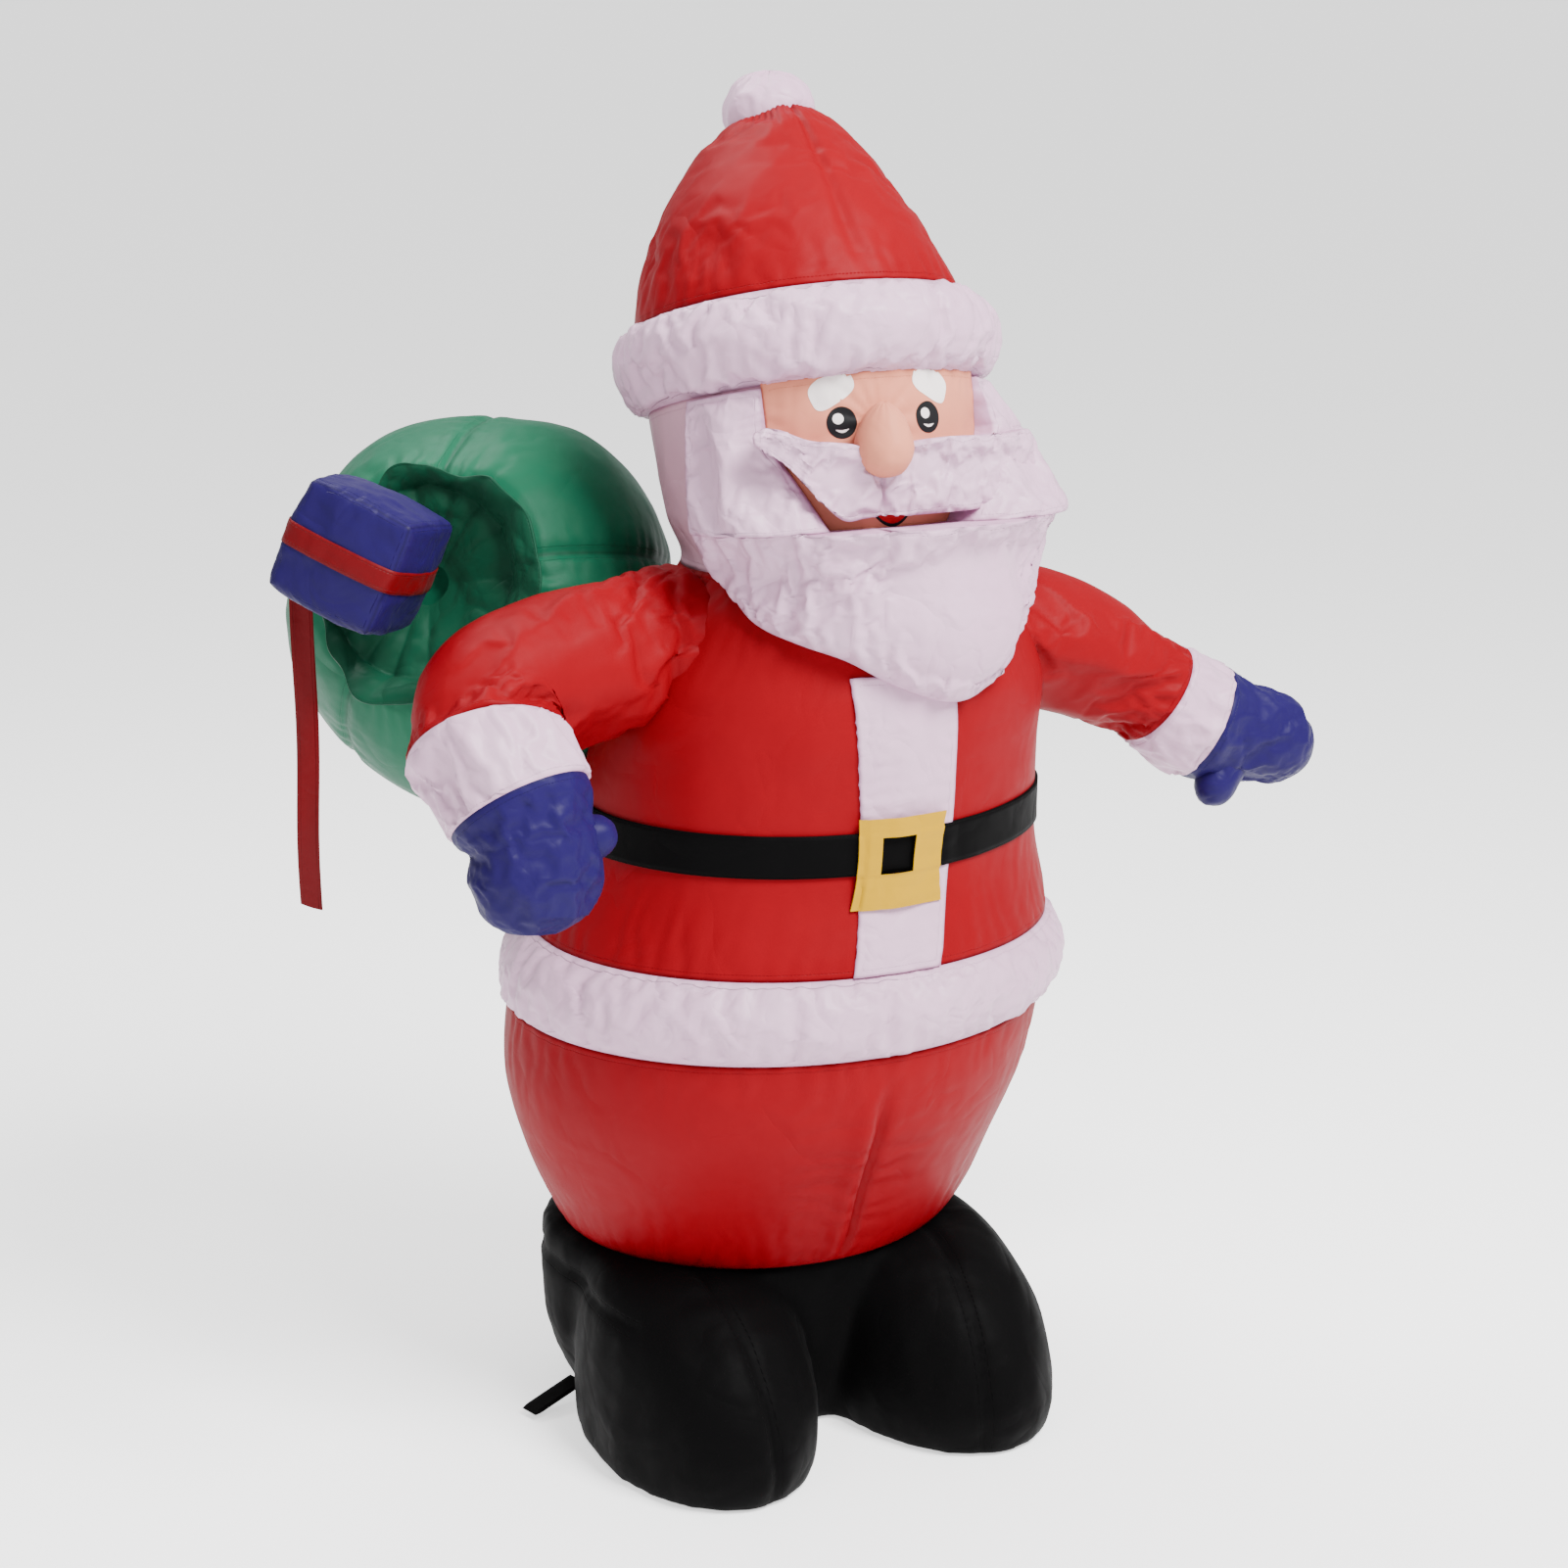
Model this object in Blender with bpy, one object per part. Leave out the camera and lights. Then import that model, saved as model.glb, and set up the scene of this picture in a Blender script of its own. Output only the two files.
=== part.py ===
"""Inflatable Santa with a sack on the shoulder.

Sewn nylon figure, filled with air. It faces -Y and stands on z = 0, with its
right hand at -X. The figure's form is given in shares of H. Cloth thicknesses,
strip widths and the seam gap have sizes of their own.
"""
from math import cos, degrees, pi, radians, sin, sqrt

import bmesh
import bpy
from mathutils import Matrix, Vector

for stale in list(bpy.data.objects):
    bpy.data.objects.remove(stale, do_unlink=True)

# Sizes in metres
H = 1.19
SEAM_GAP = 0.0003
BELT_WIDTH = 0.036
BELT_THICK = 0.004
PLACKET_WIDTH = 0.092
PLACKET_THICK = 0.002
BUCKLE_WIDTH = 0.080
BUCKLE_HEIGHT = 0.078
BUCKLE_THICK = 0.003
BUCKLE_HOLE = 0.030
FACE_THICK = 0.002
BEARD_THICK = 0.006
BIB_EDGE = 0.005
COLLAR_THICK = 0.004
GIFT_SIZE = 0.108
GIFT_ROUNDING = 0.018
GIFT_RIBBON_WIDTH = 0.020
GIFT_RIBBON_THICK = 0.002
TIE_WIDTH = 0.012
TIE_THICK = 0.002
TAIL_WIDTH = 0.020
TAIL_LENGTH = 0.262
TAIL_THICK = 0.002
TETHER_WIDTH = 0.020
TETHER_THICK = 0.003
TETHER_LENGTH = 0.050
AROUND = 26

# Colours: red, green, blue, then roughness
LOOKS = {
    "red": (0.55, 0.010, 0.014, 0.45),
    "white": (0.78, 0.72, 0.78, 0.45),
    "skin": (0.80, 0.55, 0.42, 0.50),
    "black": (0.012, 0.012, 0.013, 0.55),
    "blue": (0.055, 0.050, 0.26, 0.45),
    "green": (0.018, 0.16, 0.085, 0.45),
    "dark_green": (0.012, 0.09, 0.05, 0.55),
    "yellow": (0.75, 0.55, 0.04, 0.45),
}


def paint(thing, look):
    """Give the object a material of its own in one of the colours."""
    red, green, blue, rough = LOOKS[look]
    cloth = bpy.data.materials.new(thing.name + "_" + look)
    cloth.use_nodes = True
    shader = cloth.node_tree.nodes["Principled BSDF"]
    shader.inputs["Base Color"].default_value = (red, green, blue, 1.0)
    shader.inputs["Roughness"].default_value = rough
    shader.inputs["Metallic"].default_value = 0.0
    thing.data.materials.append(cloth)


def make(name, shape, look):
    """Turn a bmesh into a named, smooth-shaded object."""
    bmesh.ops.recalc_face_normals(shape, faces=shape.faces)
    mesh = bpy.data.meshes.new(name)
    shape.to_mesh(mesh)
    shape.free()
    thing = bpy.data.objects.new(name, mesh)
    bpy.context.scene.collection.objects.link(thing)
    mesh.shade_smooth()
    mesh.set_sharp_from_angle(angle=radians(50))
    paint(thing, look)
    return thing


def bridge(shape, low, high):
    for i in range(len(low)):
        j = (i + 1) % len(low)
        shape.faces.new((low[i], low[j], high[j], high[i]))


def loft(name, rings, look):
    """Close a stack of equal rings into one body."""
    shape = bmesh.new()
    rows = [[shape.verts.new(point) for point in ring] for ring in rings]
    for low, high in zip(rows, rows[1:]):
        bridge(shape, low, high)
    shape.faces.new(rows[0][::-1])
    shape.faces.new(rows[-1])
    return make(name, shape, look)


def hoop(name, rings, look):
    """Close a stack of equal rings into a ring-shaped body, last to first."""
    shape = bmesh.new()
    rows = [[shape.verts.new(point) for point in ring] for ring in rings]
    for low, high in zip(rows, rows[1:] + rows[:1]):
        bridge(shape, low, high)
    return make(name, shape, look)


def slab(name, back, front, look):
    """Close two equal grids of points into one body."""
    shape = bmesh.new()
    high, wide = len(back), len(back[0])
    under = [[shape.verts.new(point) for point in row] for row in back]
    over = [[shape.verts.new(point) for point in row] for row in front]
    for i in range(high - 1):
        for j in range(wide - 1):
            shape.faces.new((over[i][j], over[i][j + 1], over[i + 1][j + 1], over[i + 1][j]))
            shape.faces.new((under[i][j], under[i + 1][j], under[i + 1][j + 1], under[i][j + 1]))
    rim = [(0, j) for j in range(wide - 1)] + [(i, wide - 1) for i in range(high - 1)]
    rim += [(high - 1, j) for j in range(wide - 1, 0, -1)]
    rim += [(i, 0) for i in range(high - 1, 0, -1)]
    for (i, j), (m, n) in zip(rim, rim[1:] + rim[:1]):
        shape.faces.new((under[i][j], under[m][n], over[m][n], over[i][j]))
    return make(name, shape, look)


def guide(thing):
    """Keep a cutter or a joined body out of the finished model."""
    thing.hide_render = True
    thing.display_type = "WIRE"
    return thing


def boolean(thing, other, operation):
    guide(other)
    step = thing.modifiers.new(operation.lower() + "_" + other.name, "BOOLEAN")
    step.operation = operation
    step.solver = "EXACT"
    step.object = other


def between(table, t):
    """Read a smooth curve through a table of rows, by its first column."""
    t = min(max(t, table[0][0]), table[-1][0])
    k = max(i for i in range(len(table) - 1) if table[i][0] <= t)
    a, b = table[k], table[k + 1]
    before = table[max(k - 1, 0)]
    after = table[min(k + 2, len(table) - 1)]
    span = b[0] - a[0]
    u = (t - a[0]) / span
    out = []
    for c in range(1, len(a)):
        rise_a = (b[c] - before[c]) / (b[0] - before[0]) * span
        rise_b = (after[c] - a[c]) / (after[0] - a[0]) * span
        out.append((2 * u**3 - 3 * u**2 + 1) * a[c] + (u**3 - 2 * u**2 + u) * rise_a
                   + (3 * u**2 - 2 * u**3) * b[c] + (u**3 - u**2) * rise_b)
    return out


def turn(count=AROUND):
    return [2 * pi * i / count for i in range(count)]


def swell(share):
    """A half round from 0 at one end to 1 at the middle and 0 at the other end."""
    return sqrt(max(0.0, 1.0 - (2.0 * share - 1.0)**2))


# Spine
# Rows: height, middle to the side, middle front to back, half width, half depth,
# all as shares of H, and the section's tilt back in degrees. The trunk carries
# its belly forward, and the head is thrown back.
SPINE = [
    (0.125, -0.016, 0.030, 0.144, 0.132, 0),
    (0.155, -0.014, 0.022, 0.163, 0.150, 0),
    (0.210, -0.018, 0.010, 0.185, 0.169, 0),
    (0.270, -0.016, 0.000, 0.203, 0.185, 0),
    (0.330, -0.010, -0.006, 0.207, 0.188, 0),
    (0.385, -0.001, -0.012, 0.200, 0.178, 0),
    (0.450, 0.007, -0.018, 0.180, 0.156, 0),
    (0.520, 0.013, -0.026, 0.172, 0.146, 0),
    (0.580, 0.020, -0.034, 0.164, 0.136, 0),
    (0.635, 0.022, -0.038, 0.136, 0.118, 0),
    (0.665, 0.018, -0.038, 0.108, 0.108, 3),
    (0.700, 0.014, -0.036, 0.114, 0.116, 7),
    (0.745, 0.011, -0.032, 0.118, 0.120, 12),
    (0.790, 0.008, -0.026, 0.119, 0.121, 16),
    (0.830, 0.003, -0.020, 0.119, 0.120, 17),
    (0.880, -0.002, -0.005, 0.107, 0.107, 17),
    (0.915, -0.001, 0.006, 0.088, 0.088, 17),
    (0.945, 0.001, 0.016, 0.065, 0.065, 17),
    (0.966, 0.003, 0.022, 0.044, 0.044, 17),
    (0.978, 0.005, 0.026, 0.024, 0.024, 17),
    (0.983, 0.006, 0.028, 0.008, 0.008, 17),
]
TROUSERS_FOOT = 0.140 * H
HEM_BOTTOM = 0.328 * H
HEM_TOP = 0.388 * H
NECK = 0.662 * H
BRIM_BOTTOM = 0.778 * H
BRIM_TOP = 0.838 * H
CROWN_TIP = 0.981 * H
BELT_MIDDLE = 0.474 * H


def figure(height, angle, stand_off=0.0):
    """A point on the figure; angle 0 is straight in front, growing to its left."""
    row = between(SPINE, height / H)
    x, y, wide, deep = [value * H for value in row[:4]]
    tilt = radians(row[4])
    ahead = (deep + stand_off) * cos(angle)
    return Vector((x + (wide + stand_off) * sin(angle), y - ahead * cos(tilt),
                   height + ahead * sin(tilt)))


def ring_at(height, stand_off=0.0, count=AROUND):
    return [figure(height, a, stand_off) for a in turn(count)]


def stack(name, low, high, steps, look, puff=0.0, count=AROUND):
    """A slice of the figure, bulging by puff between its two seams."""
    rings = [ring_at(low + (high - low) * k / steps, puff * swell(k / steps), count)
             for k in range(steps + 1)]
    return loft(name, rings, look)


def room(name, low, high, steps, grow=SEAM_GAP, count=AROUND):
    """A slice of the figure, larger all round, to cut what lies against it."""
    rings = []
    for k in range(steps + 1):
        height = low + (high - low) * k / steps
        near = between(SPINE, height / H - 0.004)[2]
        far = between(SPINE, height / H + 0.004)[2]
        slope = (far - near) / 0.008
        rings.append(ring_at(height, grow * sqrt(1 + slope**2), count))
    rings.insert(0, [point - Vector((0, 0, grow)) for point in rings[0]])
    rings.append([point + Vector((0, 0, grow)) for point in rings[-1]])
    return guide(loft(name, rings, "red"))


# Boots: a drum under the trousers and two feet, joined in one
BOOT_DRUM = [
    (0.000, -0.018, 0.020, 0.146, 0.120),
    (0.060, -0.020, 0.026, 0.166, 0.135),
    (0.110, -0.020, 0.030, 0.166, 0.140),
    (0.160, -0.019, 0.030, 0.158, 0.140),
]
FEET = (("right", -0.108, -3.0), ("left", 0.074, 5.0))
FOOT_HALF_WIDTH = 0.086 * H
FOOT_FRONT = 0.216 * H
FOOT_BACK = 0.050 * H
FOOT_HEIGHT = 0.150 * H


def block(name, middle, size):
    shape = bmesh.new()
    bmesh.ops.create_cube(shape, size=1.0)
    bmesh.ops.scale(shape, vec=size, verts=shape.verts)
    bmesh.ops.translate(shape, vec=middle, verts=shape.verts)
    return make(name, shape, "black")


def foot(side, middle, splay):
    """A rounded toe end, flat below, rising into the drum."""
    rings = []
    for k in range(8):
        lift = k / 7
        draw_in = sqrt(max(0.05, 1 - lift**2.6)) if k else 0.96
        half_long = (FOOT_BACK + FOOT_FRONT) / 2 * (0.35 + 0.65 * draw_in)
        half_wide = FOOT_HALF_WIDTH * (0.45 + 0.55 * draw_in)
        ring = []
        for a in turn(22):
            out = Vector((half_wide * sin(a), FOOT_BACK - half_long * (1 + cos(a)), 0))
            ring.append(Matrix.Rotation(radians(splay), 3, "Z") @ out
                        + Vector((middle * H, 0, FOOT_HEIGHT * lift)))
        rings.append(ring)
    return loft("foot_" + side, rings, "black")


def boots():
    rings = []
    for k in range(6):
        share = 0.16 * k / 5
        x, y, wide, deep = [value * H for value in between(BOOT_DRUM, share)]
        rings.append([Vector((x + wide * sin(a), y - deep * cos(a), share * H)) for a in turn()])
    drum = loft("boots", rings, "black")
    for side, middle, splay in FEET:
        boolean(drum, foot(side, middle, splay), "UNION")
    lid = block("boots_lid", (0, 0, TROUSERS_FOOT - SEAM_GAP + 0.15 * H),
                (0.8 * H, 0.8 * H, 0.3 * H))
    boolean(drum, lid, "DIFFERENCE")


def tether():
    """A webbing loop, pressed flat, at the outer side of the right boot."""
    root = Vector((-0.178 * H, 0.011 * H, 0.016 * H))
    out = Vector((-0.90, -0.25, -0.25)).normalized()
    across = Vector((0.25, -0.80, 0.0)).normalized()
    up = out.cross(across).normalized()
    grids = []
    for lift in (-TETHER_THICK / 2, TETHER_THICK / 2):
        grids.append([[root + out * (TETHER_LENGTH * i / 4) + across * (TETHER_WIDTH * (j - 0.5))
                       + up * lift for j in range(2)] for i in range(5)])
    return slab("tether_strap", grids[0], grids[1], "black")


boots()
stack("trousers", TROUSERS_FOOT, HEM_BOTTOM - SEAM_GAP, 7, "red")
stack("hem_band", HEM_BOTTOM, HEM_TOP, 6, "white", puff=0.014 * H)
stack("jacket", HEM_TOP + SEAM_GAP, NECK, 9, "red")
stack("head", NECK + SEAM_GAP, BRIM_BOTTOM - SEAM_GAP, 5, "white")
stack("hat_brim", BRIM_BOTTOM, BRIM_TOP, 5, "white", puff=0.024 * H)
stack("hat_crown", BRIM_TOP + SEAM_GAP, CROWN_TIP, 8, "red", count=24)
jacket_room = room("jacket_room", HEM_TOP + SEAM_GAP, NECK, 9)
head_room = room("head_room", NECK + SEAM_GAP, BRIM_BOTTOM - SEAM_GAP, 5)
crown_room = room("crown_room", BRIM_TOP + SEAM_GAP, CROWN_TIP, 8, count=24)


# Strips on the front of the trunk
# What lies against the figure starts a little inside it and is cut to fit.
TUCK = 0.004
FRONT_RADIUS = 0.172 * H
PLACKET_HALF = PLACKET_WIDTH / 2 / FRONT_RADIUS
PLACKET_TOP = 0.600 * H
PLACKET_FOOT = 0.77
PLACKET_HEAD = 1.10
PLACKET_SWAY = (0.010, 0.163, -0.218)
BELT_CLEAR = PLACKET_THICK + 3 * SEAM_GAP
BUCKLE_STAND = 0.0012
BUCKLE_DROP = 0.0080
BUCKLE_HOLE_SHIFT = (-0.0040, 0.0070)
BIB_STAND = 0.0020


def placket(name, grow=0.0):
    """A flat strip down the front, from the beard to the hem, a little bowed and wider above."""
    low, high = HEM_TOP + 2 * SEAM_GAP, PLACKET_TOP + grow
    layers = []
    for off in (-TUCK, SEAM_GAP + PLACKET_THICK + grow):
        rows = []
        for i in range(11):
            share = i / 10
            wide = PLACKET_FOOT + (PLACKET_HEAD - PLACKET_FOOT) * share
            half = PLACKET_HALF * wide + grow / FRONT_RADIUS
            middle = PLACKET_SWAY[0] + PLACKET_SWAY[1] * share + PLACKET_SWAY[2] * share**2
            rows.append([figure(low + (high - low) * share, middle + half * (j / 2 - 1), off)
                         for j in range(5)])
        layers.append(rows)
    return slab(name, layers[0], layers[1], "white")


def belt():
    """A band round the jacket that steps out where it crosses the placket."""
    low = BELT_MIDDLE - BELT_WIDTH / 2
    high = BELT_MIDDLE + BELT_WIDTH / 2
    edge = PLACKET_HALF + 0.02
    angles = sorted(turn(28) + [edge, edge + 0.03, 2 * pi - edge, 2 * pi - edge - 0.03])
    rings = []
    for height, tucked in ((low, True), (high, True), (high, False), (low, False)):
        ring = []
        for a in angles:
            over = min(a, 2 * pi - a) <= edge + 0.001
            out = (BELT_CLEAR if over else SEAM_GAP) + BELT_THICK
            ring.append(figure(height, a, -TUCK if tucked else out))
        rings.append(ring)
    return hoop("belt", rings, "black")


def buckle():
    """A square plate with a square hole, bent round the belt."""
    off = BELT_CLEAR + BELT_THICK + BUCKLE_STAND
    shape = bmesh.new()
    loops = []
    plate = (BUCKLE_WIDTH / 2, BUCKLE_HEIGHT / 2, (0.0, 0.0))
    hole = (BUCKLE_HOLE / 2, BUCKLE_HOLE / 2, BUCKLE_HOLE_SHIFT)
    middle = BELT_MIDDLE - BUCKLE_DROP
    for thick in (0.0, BUCKLE_THICK):
        for wide, high, shift in (plate, hole):
            corners = [(-wide, -high), (0, -high), (wide, -high), (wide, 0),
                       (wide, high), (0, high), (-wide, high), (-wide, 0)]
            loops.append([shape.verts.new(figure(middle + shift[1] + v,
                                                 (shift[0] + u) / FRONT_RADIUS, off + thick))
                          for u, v in corners])
    back_out, back_in, front_out, front_in = loops
    bridge(shape, front_out, front_in)
    bridge(shape, back_in, back_out)
    bridge(shape, back_out, front_out)
    bridge(shape, front_in, back_in)
    return make("buckle", shape, "yellow")


placket_room = placket("placket_room", 2 * SEAM_GAP)
boolean(placket("placket"), jacket_room, "DIFFERENCE")
band = belt()
boolean(band, jacket_room, "DIFFERENCE")
boolean(band, placket_room, "DIFFERENCE")
buckle()


# Arms
# Rows: the middle line's x, y, z, then half width and half depth, as shares of H.
# The sleeve runs to the fourth row and the cuff to the fifth.
ARM_RIGHT = [
    (-0.095, -0.036, 0.612, 0.052, 0.056),
    (-0.195, -0.048, 0.606, 0.057, 0.056),
    (-0.258, -0.070, 0.590, 0.058, 0.054),
    (-0.273, -0.105, 0.563, 0.056, 0.053),
    (-0.262, -0.137, 0.528, 0.051, 0.048),
    (-0.257, -0.149, 0.505, 0.044, 0.040),
    (-0.258, -0.155, 0.480, 0.047, 0.036),
    (-0.261, -0.158, 0.458, 0.036, 0.028),
    (-0.262, -0.159, 0.446, 0.018, 0.014),
]
ARM_LEFT = [
    (0.110, -0.042, 0.600, 0.056, 0.058),
    (0.180, -0.044, 0.597, 0.055, 0.056),
    (0.240, -0.050, 0.575, 0.049, 0.050),
    (0.292, -0.058, 0.536, 0.042, 0.044),
    (0.330, -0.066, 0.512, 0.045, 0.044),
    (0.356, -0.072, 0.503, 0.040, 0.036),
    (0.385, -0.078, 0.495, 0.038, 0.030),
    (0.405, -0.082, 0.492, 0.030, 0.024),
    (0.418, -0.084, 0.492, 0.014, 0.012),
]
SLEEVE_END = 3.0
CUFF_END = 4.0
THUMBS = {
    "right": ((-0.232, -0.152, 0.504), (-0.199, -0.154, 0.507), 0.016),
    "left": ((0.345, -0.082, 0.484), (0.322, -0.088, 0.450), 0.017),
}


def ring_across(middle, ahead, wide, deep, count):
    """An oval ring square to a direction."""
    side = ahead.cross(Vector((0, 1, 0))).normalized()
    front = side.cross(ahead).normalized()
    return [middle + side * (wide * cos(a)) + front * (deep * sin(a)) for a in turn(count)]


def tube(name, path, start, end, steps, look, puff=0.0, grow=0.0, gap=0.0, count=14):
    """A bent tube along the smooth curve through a path's rows, its start moved on by a gap."""
    table = [(float(i),) + tuple(row) for i, row in enumerate(path)]
    rings = []
    for k in range(steps + 1):
        place = start + (end - start) * k / steps
        row = between(table, place)
        ahead = Vector(between(table, place + 0.02)[:3]) - Vector(between(table, place - 0.02)[:3])
        ahead.normalize()
        middle = Vector(row[:3]) * H + (ahead * gap if k == 0 else Vector())
        more = puff * H * swell(k / steps) + grow
        rings.append(ring_across(middle, ahead, row[3] * H + more, row[4] * H + more, count))
    return loft(name, rings, look)


def thumb(side):
    root, tip, radius = THUMBS[side]
    root, tip = Vector(root) * H, Vector(tip) * H
    rings = []
    for share, thick in ((0.0, 1.0), (0.4, 1.0), (0.75, 0.85), (0.92, 0.5), (1.0, 0.2)):
        rings.append(ring_across(root.lerp(tip, share), (tip - root).normalized(),
                                 radius * thick * H, radius * thick * H, 12))
    return loft(side + "_thumb", rings, "blue")


def arm(side, path):
    sleeve = tube(side + "_sleeve", path, 0.0, SLEEVE_END, 9, "red")
    boolean(sleeve, jacket_room, "DIFFERENCE")
    boolean(sleeve, head_room, "DIFFERENCE")
    tube(side + "_cuff", path, SLEEVE_END, CUFF_END, 4, "white", puff=0.006, gap=SEAM_GAP)
    mitten = tube(side + "_mitten", path, CUFF_END, 8.0, 8, "blue", gap=SEAM_GAP)
    boolean(mitten, thumb(side), "UNION")


arm("right", ARM_RIGHT)
arm("left", ARM_LEFT)
sleeve_rooms = [tube(side + "_sleeve_room", path, 0.0, SLEEVE_END, 9, "red", grow=2 * SEAM_GAP)
                for side, path in (("right", ARM_RIGHT), ("left", ARM_LEFT))]


# Head
def ball(name, middle, half, look, rings=8, count=14, narrowing=0.0):
    """An egg with its half sizes given along x, y and z."""
    shape = bmesh.new()
    bmesh.ops.create_uvsphere(shape, u_segments=count, v_segments=rings, radius=1.0)
    for vert in shape.verts:
        taper = 1.0 - narrowing * vert.co.z
        vert.co = Vector((vert.co.x * half[0] * taper, vert.co.y * half[1] * taper,
                          vert.co.z * half[2])) + Vector(middle)
    return make(name, shape, look)


FACE_HALF = radians(44)
FACE_LEAN = radians(2)
MOUTH_HALF = radians(24)
BIB_RIGHT = radians(70)
BIB_LEFT = radians(86)
BIB_TOP = 0.691 * H
BIB_PUFF = 0.047 * H
BIB_LEAN = 0.016 * H
CHEEK = 0.745 * H
# Rows: degrees round the figure, height of the bib's lower edge as a share of H
BIB_LOW = [
    (-86, 0.672),
    (-68, 0.661),
    (-57, 0.648),
    (-45, 0.634),
    (-30, 0.622),
    (-18, 0.612),
    (-4, 0.592),
    (12, 0.577),
    (24, 0.586),
    (36, 0.622),
    (55, 0.650),
    (86, 0.672),
]
FACE_TOP = BRIM_BOTTOM - SEAM_GAP - 0.002 * H


def face_edge(height):
    """Half the angle that the face panel takes: full above the cheeks, less at the mouth."""
    share = min(1.0, max(0.0, (height - BIB_TOP) / (CHEEK - BIB_TOP)))
    return MOUTH_HALF + (FACE_HALF - MOUTH_HALF) * share


def face_middle(height):
    """The angle of the panel's middle, which leans to the figure's left above the mouth."""
    return FACE_LEAN * (face_edge(height) - MOUTH_HALF) / (FACE_HALF - MOUTH_HALF)


def bib_swell(angle):
    """How far the bib stands off, fuller on the figure's left."""
    return BIB_PUFF + BIB_LEAN * sin(angle)


def face(name, grow=0.0):
    layers = []
    low, high = BIB_TOP + SEAM_GAP, FACE_TOP
    for off in (-TUCK, SEAM_GAP + FACE_THICK + grow):
        rows = []
        for i in range(8):
            height = low + (high - low) * i / 7
            half = face_edge(height) + grow / (0.12 * H)
            rows.append([figure(height, face_middle(height) + half * (j / 5 - 1), off)
                         for j in range(11)])
        layers.append(rows)
    return slab(name, layers[0], layers[1], "skin")


def beard_side(side, sign, grow=0.0):
    """A puffed side piece, from the brim down to the bib, free at its outer edge."""
    low, high = BIB_TOP + SEAM_GAP, FACE_TOP
    gap = (5 * SEAM_GAP - grow) / (0.12 * H)
    layers = [[], []]
    for i in range(8):
        height = low + (high - low) * i / 7
        inner = face_edge(height) + gap + sign * face_middle(height)
        outer = (BIB_RIGHT if sign < 0 else BIB_LEFT - 0.35 * (i / 7)**2) - gap
        back, front = [], []
        for j in range(7):
            a = sign * (inner + (outer - inner) * j / 6)
            flare = bib_swell(a) * (1 - i / 7)**0.8 * swell(0.03 + 0.89 * j / 6)
            back.append(figure(height, a, -TUCK))
            front.append(figure(height, a, SEAM_GAP + BEARD_THICK + flare + grow))
        layers[0].append(back)
        layers[1].append(front)
    return slab("beard_" + side, layers[0], layers[1], "white")


def bib():
    """The beard's bag: a shelf at the mouth, hanging to a blunt point."""
    layers = [[], []]
    for i in range(8):
        v = i / 7
        back, front = [], []
        for j in range(17):
            a = -BIB_RIGHT + (BIB_RIGHT + BIB_LEFT) * j / 16
            low = between(BIB_LOW, degrees(a))[0] * H
            height = low + (BIB_TOP - low) * v
            ends = sqrt(swell(0.03 + 0.90 * j / 16))
            puff = BIB_EDGE + bib_swell(a) * sqrt(1 - (1 - v)**2.4) * ends
            back.append(figure(height, a, -TUCK))
            front.append(figure(height, a, SEAM_GAP + PLACKET_THICK + puff))
        layers[0].append(back)
        layers[1].append(front)
    return slab("bib", layers[0], layers[1], "white")


# Rows: degrees round the figure, bottom height, top height
LOBES = [
    (-41, 0.744, 0.749),
    (-38, 0.740, 0.751),
    (-34, 0.733, 0.748),
    (-27, 0.715, 0.742),
    (-20, 0.701, 0.740),
    (-13, 0.701, 0.737),
    (-6, 0.702, 0.727),
    (2, 0.701, 0.736),
    (12, 0.701, 0.739),
    (28, 0.701, 0.739),
    (44, 0.702, 0.740),
    (54, 0.706, 0.742),
    (60, 0.714, 0.741),
]
LOBES_MIDDLE = -6
LOBE_PUFF = 0.014 * H
LOBE_RISE = 0.024 * H


def moustache():
    """Two lobes meeting under the nose, lying over the face and the cheeks."""
    off = SEAM_GAP + FACE_THICK
    layers = [[], []]
    for i in range(5):
        back, front = [], []
        for j in range(17):
            turned = LOBES[0][0] + (LOBES[-1][0] - LOBES[0][0]) * j / 16
            low, high = [value * H for value in between(LOBES, turned)]
            end = LOBES[-1][0] if turned > LOBES_MIDDLE else LOBES[0][0]
            t = (turned - LOBES_MIDDLE) / (end - LOBES_MIDDLE)
            height = low + (high - low) * i / 4
            puff = BEARD_THICK + LOBE_PUFF * swell(0.1 + 0.8 * i / 4) + LOBE_RISE * t
            back.append(figure(height, radians(turned), -TUCK))
            front.append(figure(height, radians(turned), off + puff))
        layers[0].append(back)
        layers[1].append(front)
    return slab("moustache", layers[0], layers[1], "white")


NOSE_HEIGHT = 0.740 * H
NOSE_TURN = radians(-5)
NOSE_HALF = Vector((0.0195, 0.023, 0.026)) * H
NOSE_STAND = 0.014 * H
POMPOM_HALF = Vector((0.034, 0.034, 0.0295)) * H
POMPOM_MIDDLE = Vector((0.004, 0.034, 0.979)) * H


def nose(name, grow=0.0):
    more = Vector((grow, grow, grow))
    return ball(name, figure(NOSE_HEIGHT, NOSE_TURN, NOSE_STAND), NOSE_HALF + more, "skin",
                rings=8, count=12, narrowing=0.25)


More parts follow.
